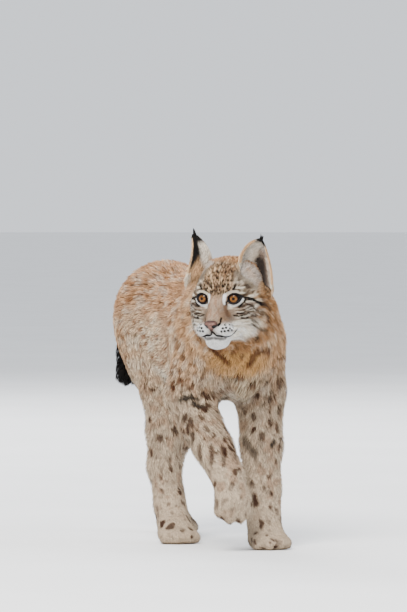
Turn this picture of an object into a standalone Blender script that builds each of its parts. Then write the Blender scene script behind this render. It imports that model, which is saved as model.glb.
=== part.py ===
# A young Eurasian lynx in its first winter coat, life size, caught in a slow walk.
# Metres, +Z up. The body heads along +X and its left side is +Y. Three paws stand on the floor, the
# right forepaw is lifted, and the head is turned to the animal's right.
# Every flesh part is cut from one smooth form, so that neighbours keep one surface across each seam.

import math
import random

import bmesh
import bpy
import numpy as np
from mathutils import Matrix, Vector

# Driving sizes
GAP = 0.0003  # between parts that meet
EYE_SPACING = 0.0480
EYE_RADIUS = 0.0125
LID = 0.0014  # thickness of the lids over the eyeball
EAR_WALL = 0.0026
EAR_TUFT = 0.015
TAIL_RADIUS = 0.023
PAW_RADIUS = 0.033

# Head pose: the point between the eyes, and where the face points
EYES_AT = Vector((0.296, -0.074, 0.401))
HEAD_YAW = -41.0
HEAD_PITCH = 8.0

# Fineness of the surfaces
BODY_VOXEL = 0.0065
HEAD_VOXEL = 0.0023
BODY_TRIANGLES = 5000
HEAD_TRIANGLES = 4600

COAT = (0.52, 0.38, 0.25, 1.0)
NOSE_PINK = (0.36, 0.19, 0.16, 1.0)
AMBER = (0.52, 0.27, 0.06, 1.0)


def turned(yaw=0.0, pitch=0.0, roll=0.0):
    """Turns in degrees: yaw to the left, pitch nose down, roll right side down."""
    return (
        Matrix.Rotation(math.radians(yaw), 4, "Z")
        @ Matrix.Rotation(math.radians(pitch), 4, "Y")
        @ Matrix.Rotation(math.radians(roll), 4, "X")
    )


WORLD = Matrix.Identity(4)
HEAD = Matrix.Translation(EYES_AT) @ turned(HEAD_YAW, HEAD_PITCH)


class Ball:
    """An ellipsoid. Its blend is how softly it runs into what is already there."""

    def __init__(self, at, radii, turn=WORLD, frame=WORLD, blend=0.02):
        self.place = frame @ Matrix.Translation(Vector(at)) @ turn
        self.radii = np.array(radii, float)
        self.blend = blend
        self.centre = np.array(self.place.translation)
        self.axes = np.array(self.place.to_3x3())

    def distance(self, points):
        local = (points - self.centre) @ self.axes
        near = np.linalg.norm(local / self.radii, axis=1)
        slope = np.linalg.norm(local / self.radii**2, axis=1)
        return near * (near - 1.0) / np.maximum(slope, 1e-9)

    def spheres(self):
        return [self.place @ Matrix.Diagonal((*self.radii, 1.0))]


class Limb:
    """A round length that runs from one thickness to another."""

    def __init__(self, start, end, start_radius, end_radius, frame=WORLD, blend=0.02):
        self.start = np.array(frame @ Vector(start))
        self.end = np.array(frame @ Vector(end))
        self.radii = (start_radius, end_radius)
        self.blend = blend

    def distance(self, points):
        along = self.end - self.start
        share = np.clip((points - self.start) @ along / (along @ along), 0.0, 1.0)
        radius = self.radii[0] + (self.radii[1] - self.radii[0]) * share
        return np.linalg.norm(points - self.start - share[:, None] * along, axis=1) - radius

    def spheres(self):
        steps = max(2, int(np.linalg.norm(self.end - self.start) / (0.4 * min(self.radii))) + 1)
        made = []
        for share in np.linspace(0.0, 1.0, steps):
            at = Vector(self.start + (self.end - self.start) * share)
            radius = self.radii[0] + (self.radii[1] - self.radii[0]) * share
            made.append(Matrix.Translation(at) @ Matrix.Scale(radius, 4))
        return made


def chain(stations, frame=WORLD, blend=0.012):
    """Limbs through (point, radius) stations."""
    return [
        Limb(a, b, ra, rb, frame, blend) for (a, ra), (b, rb) in zip(stations, stations[1:])
    ]


def both_sides(make):
    """The pieces that make(side) gives, for the left (+1) and the right (-1)."""
    return [piece for side in (1, -1) for piece in make(side)]


def torso_pieces():
    def flank(side):
        return [
            Ball((0.135, side * 0.044, 0.328), (0.062, 0.038, 0.088), turned(pitch=14), blend=0.03),
            Ball((-0.148, side * 0.033, 0.326), (0.074, 0.031, 0.076), turned(pitch=-16), blend=0.03),
            Ball((-0.104, side * 0.034, 0.284), (0.060, 0.029, 0.058), blend=0.03),
        ]

    return [
        Ball((0.080, 0.0, 0.326), (0.135, 0.076, 0.096), blend=0.03),
        Ball((0.110, 0.0, 0.378), (0.085, 0.044, 0.056), blend=0.03),
        Ball((0.178, 0.0, 0.304), (0.060, 0.062, 0.068), blend=0.03),
        Ball((-0.045, 0.0, 0.322), (0.150, 0.072, 0.084), blend=0.03),
        Limb((0.08, 0.0, 0.352), (-0.13, 0.0, 0.370), 0.070, 0.074, blend=0.03),
        Ball((-0.145, 0.0, 0.362), (0.100, 0.082, 0.088), turned(pitch=-6), blend=0.03),
        *both_sides(flank),
    ]


def neck_pieces():
    nape = HEAD @ Vector((-0.066, 0.0, -0.004))
    throat = HEAD @ Vector((-0.048, 0.0, -0.034))
    return [
        Limb((0.130, 0.0, 0.360), nape, 0.070, 0.054, blend=0.03),
        Limb((0.182, 0.0, 0.318), throat, 0.060, 0.042, blend=0.03),
    ]


def paw_pieces(frame):
    """A broad winter paw in its own frame: origin on the floor below its middle, toes along +X."""

    def toe_pair(side):
        return [
            Ball((0.0300, side * 0.0100, 0.0140), (0.0155, 0.0097, 0.0145), frame=frame, blend=0.004),
            Ball((0.0200, side * 0.0260, 0.0130), (0.0150, 0.0095, 0.0135), frame=frame, blend=0.004),
        ]

    return [
        Ball((0.002, 0.0, 0.019), (0.029, PAW_RADIUS, 0.023), frame=frame, blend=0.010),
        *both_sides(toe_pair),
    ]


# The blocks that part the legs from the trunk: a side view outline, and the (height, side) corners of
# the inner face, which stands upright below the belly and leans outwards above it
FORE_BLOCK = {
    "outline": [
        (0.120, -0.05),
        (0.380, -0.05),
        (0.380, 0.228),
        (0.200, 0.330),
        (0.120, 0.372),
        (0.062, 0.300),
        (0.045, 0.228),
    ],
    "inner": [(-0.05, 0.002), (0.228, 0.002), (0.372, 0.086)],
}
HIND_BLOCK = {
    "outline": [
        (-0.370, -0.05),
        (0.115, -0.05),
        (0.030, 0.228),
        (-0.080, 0.335),
        (-0.180, 0.365),
        (-0.265, 0.310),
        (-0.370, 0.228),
    ],
    "inner": [(-0.05, 0.002), (0.228, 0.002), (0.372, 0.094)],
}

# Each leg is its (point, radius) stations down to the wrist or hock and on to the paw, and the paw's place
LEGS = {
    "foreleg_l": {
        "stations": [
            ((0.158, 0.042, 0.330), 0.046),
            ((0.150, 0.050, 0.250), 0.041),
            ((0.172, 0.044, 0.165), 0.0345),
            ((0.178, 0.042, 0.095), 0.0310),
            ((0.190, 0.042, 0.036), 0.0285),
        ],
        "paw": Matrix.Translation((0.200, 0.042, -0.004)) @ turned(yaw=3),
        "block": FORE_BLOCK,
    },
    "foreleg_r": {
        "stations": [
            ((0.152, -0.046, 0.328), 0.046),
            ((0.148, -0.068, 0.245), 0.040),
            ((0.185, -0.064, 0.198), 0.0340),
            ((0.215, -0.055, 0.165), 0.0320),
            ((0.250, -0.042, 0.118), 0.0285),
        ],
        "paw": Matrix.Translation((0.238, -0.040, 0.080)) @ turned(yaw=8, pitch=68),
        "block": FORE_BLOCK,
    },
    "hindleg_l": {
        "stations": [
            ((-0.155, 0.038, 0.335), 0.050),
            ((-0.140, 0.048, 0.245), 0.040),
            ((-0.205, 0.050, 0.175), 0.0335),
            ((-0.262, 0.047, 0.122), 0.0265),
            ((-0.248, 0.045, 0.060), 0.0250),
            ((-0.232, 0.045, 0.030), 0.0270),
        ],
        "paw": Matrix.Translation((-0.222, 0.045, -0.004)) @ turned(yaw=4),
        "block": HIND_BLOCK,
    },
    "hindleg_r": {
        "stations": [
            ((-0.138, -0.034, 0.335), 0.048),
            ((-0.058, -0.037, 0.240), 0.035),
            ((-0.034, -0.042, 0.180), 0.0315),
            ((-0.036, -0.044, 0.122), 0.0275),
            ((-0.008, -0.044, 0.060), 0.0255),
            ((0.012, -0.044, 0.030), 0.0270),
        ],
        "paw": Matrix.Translation((0.023, -0.044, -0.004)) @ turned(yaw=-3),
        "block": HIND_BLOCK,
    },
}

TAIL = [
    ((-0.212, 0.002, 0.380), 0.026),
    ((-0.250, -0.008, 0.348), 0.024),
    ((-0.264, -0.016, 0.303), TAIL_RADIUS),
    ((-0.266, -0.022, 0.264), TAIL_RADIUS * 0.92),
]


def leg_pieces(leg):
    return [*chain(leg["stations"], blend=0.014), *paw_pieces(leg["paw"])]


def head_pieces():
    def part_of_face(at, radii, turn=WORLD, blend=0.014):
        return Ball(at, radii, turn, HEAD, blend)

    def side_of_face(side):
        lean = turned(roll=side * 12)
        spread = turned(yaw=side * 22)
        return [
            part_of_face((-0.026, side * 0.0315, -0.0160), (0.035, 0.0250, 0.032)),
            part_of_face((-0.048, side * 0.0350, -0.0240), (0.032, 0.0300, 0.040)),
            part_of_face((-0.034, side * 0.0310, -0.0450), (0.032, 0.0250, 0.028)),
            part_of_face((0.001, side * 0.0220, 0.0155), (0.012, 0.0150, 0.0080), lean, 0.010),
            part_of_face((0.0285, side * 0.0150, -0.0452), (0.0165, 0.0150, 0.0128), spread, 0.006),
            part_of_face(EYE_CENTRES[side], (EYE_RADIUS + LID,) * 3, blend=0.004),
            part_of_face((-0.046, side * 0.0310, 0.0300), (0.020, 0.0170, 0.022)),
        ]

    return [
        part_of_face((-0.042, 0.0, 0.009), (0.052, 0.048, 0.0475), blend=0.02),
        part_of_face((-0.012, 0.0, 0.0185), (0.026, 0.036, 0.027), blend=0.016),
        part_of_face((-0.018, 0.0, -0.043), (0.044, 0.036, 0.028), blend=0.016),
        Limb((0.000, 0.0, 0.004), (0.0370, 0.0, -0.0345), 0.0180, 0.0120, HEAD, 0.010),
        part_of_face((0.014, 0.0, -0.046), (0.030, 0.0290, 0.0200), blend=0.012),
        *both_sides(side_of_face),
        part_of_face((0.0205, 0.0, -0.0655), (0.0190, 0.0190, 0.0125), blend=0.006),
    ]


def eye_centre(side):
    return Vector((0.0, side * EYE_SPACING / 2, 0.0))


EYE_CENTRES = {side: eye_centre(side) for side in (1, -1)}


def mouth_line(face):
    """The groove between the lips, laid on the face, and the short one up to the nose."""

    def laid(points, radius):
        points, _ = on_surface(face, [tuple(HEAD @ Vector(point)) for point in points])
        return chain([(Vector(point), radius) for point in points])

    def half(side):
        lip = [
            (0.0480, 0.0, -0.0505),
            (0.0440, side * 0.0090, -0.0550),
            (0.0345, side * 0.0200, -0.0562),
            (0.0215, side * 0.0290, -0.0550),
            (0.0080, side * 0.0350, -0.0505),
        ]
        return laid(lip, 0.0030)

    return [*both_sides(half), *laid([(0.0480, 0.0, -0.0505), (0.0490, 0.0, -0.0440)], 0.0020)]


def nose_pieces():
    def wing(side):
        return [Ball((0.0475, side * 0.0050, -0.0340), (0.0048, 0.0054, 0.0054), frame=HEAD, blend=0.004)]

    return [
        Ball((0.0480, 0.0, -0.0345), (0.0052, 0.0084, 0.0058), frame=HEAD, blend=0.003),
        *both_sides(wing),
        Limb((0.0478, 0.0, -0.0360), (0.0478, 0.0, -0.0430), 0.0048, 0.0026, HEAD, 0.004),
    ]


def nostrils():
    def one(side):
        start, end = (0.0535, side * 0.0046, -0.0375), (0.0500, side * 0.0088, -0.0382)
        return [Limb(start, end, 0.0014, 0.0012, HEAD)]

    return both_sides(one)


class Form:
    """Pieces run together softly, less the grooves cut into them."""

    def __init__(self, pieces, grooves=(), groove_blend=0.002):
        self.pieces = list(pieces)
        self.grooves = list(grooves)
        self.groove_blend = groove_blend

    def distance(self, points):
        total = self.pieces[0].distance(points)
        for piece in self.pieces[1:]:
            total = soft_union(total, piece.distance(points), piece.blend)
        for groove in self.grooves:
            total = -soft_union(-total, groove.distance(points), self.groove_blend)
        return total

    def slope(self, points, here, step=2e-4):
        slopes = np.empty_like(points)
        for axis in range(3):
            moved = points.copy()
            moved[:, axis] += step
            slopes[:, axis] = (self.distance(moved) - here) / step
        return slopes


def soft_union(a, b, blend):
    share = np.clip(0.5 + 0.5 * (b - a) / blend, 0.0, 1.0)
    return b + (a - b) * share - blend * share * (1.0 - share)


def read_points(mesh):
    points = np.empty(len(mesh.vertices) * 3, np.float64)
    mesh.vertices.foreach_get("co", points)
    return points.reshape(-1, 3)


def write_points(mesh, points):
    mesh.vertices.foreach_set("co", points.astype(np.float32).ravel())
    mesh.update()


def evaluated(obj):
    """Applies the object's modifiers for good."""
    graph = bpy.context.evaluated_depsgraph_get()
    mesh = bpy.data.meshes.new_from_object(obj.evaluated_get(graph))
    old = obj.data
    obj.modifiers.clear()
    obj.data = mesh
    bpy.data.meshes.remove(old)
    return obj


def new_object(name, mesh, collection):
    obj = bpy.data.objects.new(name, mesh)
    collection.objects.link(obj)
    return obj


def mesh_of(name, bm):
    mesh = bpy.data.meshes.new(name)
    bm.to_mesh(mesh)
    bm.free()
    return mesh


def settle(mesh, form, level=0.0, rounds=6, most=0.004, movable=None):
    """Draws the mesh's points onto the form's surface, or onto the one that lies level outside it."""
    points = read_points(mesh)
    for _ in range(rounds):
        here = form.distance(points)
        slope = form.slope(points, here)
        size = np.maximum((slope**2).sum(1), 0.05)
        move = -((here - level) / size)[:, None] * slope
        length = np.linalg.norm(move, axis=1)
        move *= np.minimum(1.0, most / np.maximum(length, 1e-9))[:, None]
        if movable is not None:
            move *= movable(points)[:, None]
        points += move
    write_points(mesh, points)


def relax(mesh, times, factor=0.5):
    bm = bmesh.new()
    bm.from_mesh(mesh)
    for _ in range(times):
        bmesh.ops.smooth_vert(
            bm, verts=bm.verts, factor=factor, use_axis_x=True, use_axis_y=True, use_axis_z=True
        )
    bm.to_mesh(mesh)
    bm.free()


def skin_of(name, form, voxel, triangles, collection, first=None, movable=None):
    """A closed skin over the form: its pieces as spheres, remeshed into one, then drawn onto the surface."""
    bm = bmesh.new()
    bmesh.ops.create_uvsphere(bm, u_segments=20, v_segments=12, radius=1.0)
    unit = mesh_of("unit", bm)
    bm = bmesh.new()
    for piece in first or form.pieces:
        for place in piece.spheres():
            ball = unit.copy()
            ball.transform(place)
            bm.from_mesh(ball)
            bpy.data.meshes.remove(ball)
    bpy.data.meshes.remove(unit)
    obj = new_object(name, mesh_of(name, bm), collection)
    remesh = obj.modifiers.new("one_skin", "REMESH")
    remesh.mode = "VOXEL"
    remesh.voxel_size = voxel
    evaluated(obj)
    settle(obj.data, form, movable=movable)
    relax(obj.data, 3)
    settle(obj.data, form, rounds=3, movable=movable)
    relax(obj.data, 1, 0.3)
    settle(obj.data, form, rounds=3, most=0.001, movable=movable)
    thin = obj.modifiers.new("fewer_faces", "DECIMATE")
    thin.ratio = triangles / (2.0 * len(obj.data.polygons))
    thin.use_collapse_triangulate = True
    return evaluated(obj)


def boolean(obj, cutter, operation):
    change = obj.modifiers.new(operation.lower(), "BOOLEAN")
    change.operation = operation
    change.solver = "EXACT"
    change.object = cutter
    evaluated(obj)
    return obj


def largest_piece(obj):
    """Keeps the biggest closed surface of the object, and drops any scrap that a cut has left."""
    bm = bmesh.new()
    bm.from_mesh(obj.data)
    bmesh.ops.remove_doubles(bm, verts=bm.verts, dist=1e-6)
    left = set(bm.verts)
    groups = []
    while left:
        seed = left.pop()
        group = {seed}
        edge = [seed]
        while edge:
            vert = edge.pop()
            for link in vert.link_edges:
                other = link.other_vert(vert)
                if other not in group:
                    group.add(other)
                    edge.append(other)
        left -= group
        groups.append(group)
    keep = max(groups, key=len)
    bmesh.ops.delete(bm, geom=[v for v in bm.verts if v not in keep], context="VERTS")
    bm.to_mesh(obj.data)
    bm.free()
    return obj


def copy_of(obj, name):
    made = bpy.data.objects.new(name, obj.data.copy())
    obj.users_collection[0].objects.link(made)
    return made


def grown(obj, by):
    """Moves every face of the object outwards."""
    bm = bmesh.new()
    bm.from_mesh(obj.data)
    bm.normal_update()
    moves = [(v, v.normal * by * min(v.calc_shell_factor(), 1.6)) for v in bm.verts]
    for vert, move in moves:
        vert.co += move
    bm.to_mesh(obj.data)
    bm.free()
    return obj


def drop(*objs):
    for obj in objs:
        bpy.data.objects.remove(obj)


def half_space(name, at, normal, collection, size=1.2):
    """A great block whose one face passes through the point, on the side that the normal points to."""
    normal = Vector(normal).normalized()
    turn = normal.to_track_quat("Z", "Y").to_matrix().to_4x4()
    place = Matrix.Translation(Vector(at) + normal * size / 2) @ turn
    bm = bmesh.new()
    bmesh.ops.create_cube(bm, size=size, matrix=place)
    return new_object(name, mesh_of(name, bm), collection)


def leg_block(name, block, side, collection, out=0.20):
    """The block that holds one leg, from its side view outline and the corners of its inner face."""
    heights, inners = zip(*block["inner"])
    bm = bmesh.new()
    for x, z in block["outline"]:
        for y in (float(np.interp(z, heights, inners)), out):
            bm.verts.new((x, side * y, z))
    bmesh.ops.convex_hull(bm, input=bm.verts)
    bmesh.ops.recalc_face_normals(bm, faces=bm.faces)
    return new_object(name, mesh_of(name, bm), collection)


def lock(bm, root, lie, out, length, width, thickness, bend):
    """One flat, tapered lock of hair: it leaves its root along lie, and bends outwards towards its tip."""
    lie = lie.normalized()
    out = (out - lie * out.dot(lie)).normalized()
    across = lie.cross(out)
    stations = ((-0.18, 0.80), (0.25, 1.0), (0.62, 0.72))
    rings = []
    for share, size in stations:
        middle = root + lie * length * share + out * bend * length * max(share, 0.0) ** 2
        ring = [
            bm.verts.new(middle + across * width / 2 * size),
            bm.verts.new(middle + out * thickness / 2 * size),
            bm.verts.new(middle - across * width / 2 * size),
            bm.verts.new(middle - out * thickness / 2 * size),
        ]
        rings.append(ring)
    tip = bm.verts.new(root + lie * length + out * bend * length)
    bm.faces.new(rings[0])
    for ring, after in zip(rings, rings[1:]):
        for n in range(4):
            bm.faces.new((ring[n], ring[(n + 1) % 4], after[(n + 1) % 4], after[n]))
    for n in range(4):
        bm.faces.new((rings[-1][n], rings[-1][(n + 1) % 4], tip))


def locks_object(name, placed, collection):
    """Locks as closed bodies in one mesh, each from (root, lie, out, length, width, thickness, bend)."""
    bm = bmesh.new()
    for facts in placed:
        lock(bm, *facts)
    bmesh.ops.recalc_face_normals(bm, faces=bm.faces)
    return new_object(name, mesh_of(name, bm), collection)


def finish(obj, name, colour, roughness):
    """Names a part, gives it its material and shades it smooth."""
    obj.name = name
    obj.data.name = name
    made = bpy.data.materials.get("lynx_" + name) or bpy.data.materials.new("lynx_" + name)
    made.use_nodes = True
    made.diffuse_color = colour
    shader = made.node_tree.nodes["Principled BSDF"]
    shader.inputs["Base Color"].default_value = colour
    shader.inputs["Roughness"].default_value = roughness
    shader.inputs["Metallic"].default_value = 0.0
    obj.data.materials.clear()
    obj.data.materials.append(made)
    obj.data.shade_smooth()
    obj.data.set_sharp_from_angle(angle=math.radians(50))
    return obj


def union_of(obj, pieces, solver="EXACT"):
    """Fuses closed bodies into the object in one Boolean, then removes them."""
    group = bpy.data.collections.new("to_fuse")
    bpy.context.scene.collection.children.link(group)
    for piece in pieces:
        for old in piece.users_collection:
            old.objects.unlink(piece)
        group.objects.link(piece)
    change = obj.modifiers.new("fuse", "BOOLEAN")
    change.operation = "UNION"
    change.operand_type = "COLLECTION"
    change.collection = group
    change.solver = solver
    evaluated(obj)
    drop(*pieces)
    bpy.data.collections.remove(group)
    return obj


SHOULDER_CUT = (Vector((0.128, 0.0, 0.440)), Vector((0.80, -0.10, 0.585)))
HEAD_CUT = (HEAD @ Vector((-0.074, 0.0, 0.0)), Vector((0.90, -0.42, 0.06)))

# Ears in the head's frame: root, tip, width of the root, where the cup faces in degrees left of the nose,
# and how far the root slants down towards its outer end
EARS = {
    1: {
        "root": Vector((-0.044, 0.0430, 0.0300)),
        "tip": Vector((-0.050, 0.0545, 0.0835)),
        "width": 0.066,
        "faces": 28,
        "slant": 24,
    },
    -1: {
        "root": Vector((-0.046, -0.0460, 0.0310)),
        "tip": Vector((-0.050, -0.0600, 0.0920)),
        "width": 0.060,
        "faces": -104,
        "slant": 0,
    },
}


def ear_frame(side):
    """X is where the cup opens, Y runs across it, and Z from the root to the tip, one long."""
    facts = EARS[side]
    up = facts["tip"] - facts["root"]
    turn = math.radians(facts["faces"])
    opening = Vector((math.cos(turn), math.sin(turn), 0.0))
    opening = (opening - up * opening.dot(up) / up.length_squared).normalized()
    slant = Matrix.Rotation(math.radians(facts["slant"]) * -side, 4, opening)
    across = slant @ up.cross(opening).normalized()
    turned_so = Matrix((opening, across, up)).transposed().to_4x4()
    return HEAD @ Matrix.Translation(facts["root"]) @ turned_so


def ear_shell(side, collection, rows=8, columns=11):
    """The cup: a rolled leaf, widest a third of the way up and drawn to a point, thickened afterwards."""
    frame = ear_frame(side)
    bm = bmesh.new()
    grid = []
    for row in range(rows):
        up = row / (rows - 1)
        leaf = (1.0 - up**1.7) ** 0.70 * (0.88 + 0.42 * up * (1.0 - up))
        half_width = EARS[side]["width"] / 2 * leaf + 0.0022
        half_turn = math.radians(106 - 62 * up)
        radius = half_width / math.sin(min(half_turn, math.pi / 2))
        lean = 0.007 * math.sin(math.pi * up)
        line = []
        for column in range(columns):
            turn = (2.0 * column / (columns - 1) - 1.0) * half_turn
            deep = radius * (0.45 - math.cos(turn)) * 0.72 - lean
            at = Vector((deep, radius * math.sin(turn), up * 1.10 - 0.10))
            line.append(bm.verts.new(frame @ at))
        grid.append(line)
    for below, above in zip(grid, grid[1:]):
        for n in range(columns - 1):
            bm.faces.new((below[n], below[n + 1], above[n + 1], above[n]))
    bmesh.ops.recalc_face_normals(bm, faces=bm.faces)
    obj = new_object("ear_shell", mesh_of("ear_shell", bm), collection)
    wall = obj.modifiers.new("wall", "SOLIDIFY")
    wall.thickness = EAR_WALL
    wall.offset = 0.0
    wall.use_even_offset = True
    return evaluated(obj)


def ear_tuft(side, collection, count=5):
    """The black pencil of hair at the ear's tip."""
    frame = ear_frame(side)
    opening, across, up = (frame.to_3x3().col[n].normalized() for n in range(3))
    draw = random.Random(40 + side)
    made = []
    for n in range(count):
        spread = (n - (count - 1) / 2) / count
        root = frame @ Vector((-0.004, spread * 0.006, 0.955))
        lie = up + opening * (-0.25 + 0.1 * draw.random()) + across * (spread * 0.5 + 0.1 * draw.random())
        out = opening
        length = EAR_TUFT * (0.75 + 0.25 * draw.random())
        facts = (root, lie, out, length, 0.0040, 0.0022, -0.10)
        made.append(locks_object("tuft", [facts], collection))
    return made


def eye_ball(name, side, radius, collection):
    place = HEAD @ Matrix.Translation(EYE_CENTRES[side])
    bm = bmesh.new()
    bmesh.ops.create_icosphere(bm, subdivisions=3, radius=radius, matrix=place)
    return new_object(name, mesh_of(name, bm), collection)


def lid_opening(side, collection, steps=20):
    """An almond prism along the line of sight, which opens the lids over the eyeball."""
    sight = Matrix.Translation(EYE_CENTRES[side]) @ turned(yaw=side * 12, pitch=-3, roll=side * 10)
    bm = bmesh.new()
    rings = []
    for depth, widen in ((0.0060, 0.82), (0.022, 1.35)):
        ring = []
        for n in range(steps):
            angle = 2 * math.pi * n / steps
            y = 0.0103 * math.cos(angle) * widen
            z = 0.0080 * math.sin(angle) * (0.70 + 0.30 * abs(math.sin(angle))) * widen
            ring.append(bm.verts.new(HEAD @ sight @ Vector((depth, y, z))))
        rings.append(ring)
    for n in range(steps):
        after = (n + 1) % steps
        bm.faces.new((rings[0][n], rings[0][after], rings[1][after], rings[1][n]))
    bm.faces.new(rings[0][::-1])
    bm.faces.new(rings[1])
    bmesh.ops.recalc_face_normals(bm, faces=bm.faces)
    return new_object("lid_opening", mesh_of("lid_opening", bm), collection)


def on_surface(form, points, rounds=12):
    """The nearest points of the form's surface, and which way is out there."""
    points = np.array(points, float)
    for _ in range(rounds):
        here = form.distance(points)
        slope = form.slope(points, here)
        points -= (here / np.maximum((slope**2).sum(1), 0.05))[:, None] * slope
    here = form.distance(points)
    return points, form.slope(points, here)


# The ruff: its line from below the left ear to under the jaw, in the head's frame, and its three tiers
RUFF_LINE = [
    Vector((-0.050, 0.064, 0.000)),
    Vector((-0.050, 0.066, -0.024)),
    Vector((-0.042, 0.058, -0.048)),
    Vector((-0.026, 0.045, -0.066)),
    Vector((-0.008, 0.030, -0.072)),
]
RUFF_TIERS = 3
RUFF_LOCKS = 9
RUFF_LENGTH = 0.030


def along(line, share):
    """The point at that share of a line of points."""
    place = share * (len(line) - 1)
    n = min(int(place), len(line) - 2)
    return line[n].lerp(line[n + 1], place - n)


def ruff_locks(side, form, collection):
    draw = random.Random(7 + side)
    roots = []
    for tier in range(RUFF_TIERS):
        for n in range(RUFF_LOCKS):
            share = (n + 0.5 * (tier % 2) + 0.3 * draw.random()) / RUFF_LOCKS
            at = along(RUFF_LINE, share)
            at = Vector((at.x + 0.011 * (1 - tier), side * at.y, at.z))
            roots.append((share, HEAD @ at))
    points, outs = on_surface(form, [tuple(root) for _, root in roots])
    made = []
    for (share, _), point, out in zip(roots, points, outs):
        out = Vector(out).normalized()
        droop = Vector((-0.55 - 0.2 * share, side * (0.30 - 0.25 * share), -0.45 - 0.5 * share))
        lie = HEAD.to_3x3() @ droop
        lie = (lie - out * lie.dot(out)).normalized() + out * 0.20
        length = RUFF_LENGTH * (1.05 - 0.35 * share) * (0.85 + 0.3 * draw.random())
        facts = (Vector(point) - out * 0.0012, lie, out, length, 0.0115, 0.0036, -0.03)
        made.append(locks_object("ruff", [facts], collection))
    return made


def build():
    bpy.context.view_layer.update()
    for obj in list(bpy.data.objects):
        bpy.data.objects.remove(obj)
    animal = bpy.data.collections.new("lynx")
    tools = bpy.data.collections.new("tools")
    for group in (animal, tools):
        bpy.context.scene.collection.children.link(group)
    tools.hide_render = True

    trunk_pieces = [*torso_pieces(), *neck_pieces()]
    legs = [piece for leg in LEGS.values() for piece in leg_pieces(leg)]
    body_form = Form([*trunk_pieces, *legs, *head_pieces()])
    face = [*trunk_pieces, *head_pieces()]
    head_form = Form(face, mouth_line(Form(face)), 0.0012)
    parts = {}

    body = skin_of("body", body_form, BODY_VOXEL, BODY_TRIANGLES, tools)
    floor = half_space("floor", (0, 0, 0), (0, 0, -1), tools)
    boolean(body, floor, "DIFFERENCE")

    def cut_plane(place, side):
        at, normal = place
        return half_space("plane", at + normal.normalized() * side * GAP / 2, normal * side, tools)

    before_shoulder = cut_plane(SHOULDER_CUT, 1)
    behind_shoulder = cut_plane(SHOULDER_CUT, -1)
    behind_head = cut_plane(HEAD_CUT, -1)
    before_head = cut_plane(HEAD_CUT, 1)
    neck = boolean(copy_of(body, "neck"), before_shoulder, "INTERSECT")
    parts["neck"] = largest_piece(boolean(neck, behind_head, "INTERSECT"))
    torso = boolean(body, behind_shoulder, "INTERSECT")
    for name, leg in LEGS.items():
        side = 1 if name.endswith("_l") else -1
        block = leg_block("block", leg["block"], side, tools)
        parts[name] = largest_piece(boolean(copy_of(torso, name), block, "INTERSECT"))
        boolean(torso, grown(block, GAP), "DIFFERENCE")
        drop(block)
    parts["torso"] = largest_piece(torso)

    tail = skin_of("tail", Form(chain(TAIL, blend=0.010)), 0.0045, 420, tools)
    rump = grown(copy_of(parts["torso"], "rump"), GAP)
    parts["tail"] = largest_piece(boolean(tail, rump, "DIFFERENCE"))
    drop(rump)

    cut_at, cut_normal = (np.array(v) for v in (HEAD_CUT[0], HEAD_CUT[1].normalized()))

    def before_the_cut(points):
        return np.clip(((points - cut_at) @ cut_normal + 0.035) / 0.015, 0.0, 1.0)

    first = [*neck_pieces(), *head_pieces()]
    head = skin_of("head", head_form, HEAD_VOXEL, HEAD_TRIANGLES, tools, first, before_the_cut)
    boolean(head, before_head, "INTERSECT")
    largest_piece(head)

    nose = skin_of("nose", Form(nose_pieces(), nostrils(), 0.0006), 0.0011, 340, tools)
    recess = skin_of("recess", Form(nose_pieces()), 0.0014, 300, tools)
    settle(recess.data, Form(nose_pieces()), level=GAP, most=0.001)
    boolean(head, recess, "DIFFERENCE")
    parts["nose"] = nose
    for side in (1, -1):
        socket = eye_ball("socket", side, EYE_RADIUS + GAP, tools)
        opening = lid_opening(side, tools)
        boolean(head, opening, "DIFFERENCE")
        boolean(head, socket, "DIFFERENCE")
        drop(socket, opening)
        parts["eye_l" if side > 0 else "eye_r"] = eye_ball("eye", side, EYE_RADIUS, tools)
    largest_piece(head)

    for side in (1, -1):
        name = "ear_l" if side > 0 else "ear_r"
        ear = union_of(ear_shell(side, tools), ear_tuft(side, tools))
        skull = grown(copy_of(head, "skull"), GAP)
        nape = grown(copy_of(parts["neck"], "nape"), GAP)
        boolean(ear, nape, "DIFFERENCE")
        parts[name] = largest_piece(boolean(ear, skull, "DIFFERENCE"))
        drop(skull, nape)

    locks = [piece for side in (1, -1) for piece in ruff_locks(side, head_form, tools)]
    union_of(head, locks)
    nape = grown(copy_of(parts["neck"], "nape"), 0.8 * GAP)
    parts["head"] = largest_piece(boolean(head, nape, "DIFFERENCE"))
    drop(nape, recess, floor, before_shoulder, behind_shoulder, behind_head, before_head)

    looks = {"nose": (NOSE_PINK, 0.45), "eye_l": (AMBER, 0.1), "eye_r": (AMBER, 0.1), "tail": (COAT, 0.9)}
    for name, obj in parts.items():
        tools.objects.unlink(obj)
        animal.objects.link(obj)
        colour, roughness = looks.get(name, (COAT, 0.9))
        finish(obj, name, colour, roughness)

    points = np.vstack([read_points(obj.data) for obj in parts.values()])
    low, high = points.min(0), points.max(0)
    to_origin = Matrix.Translation((-(low[0] + high[0]) / 2, -(low[1] + high[1]) / 2, -low[2]))
    for obj in parts.values():
        obj.data.transform(to_origin)
    return parts


parts = build()
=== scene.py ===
import math

import bmesh
import bpy
import numpy as np
from mathutils import Matrix, Vector
from mathutils.bvhtree import BVHTree
from mathutils.kdtree import KDTree


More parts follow.
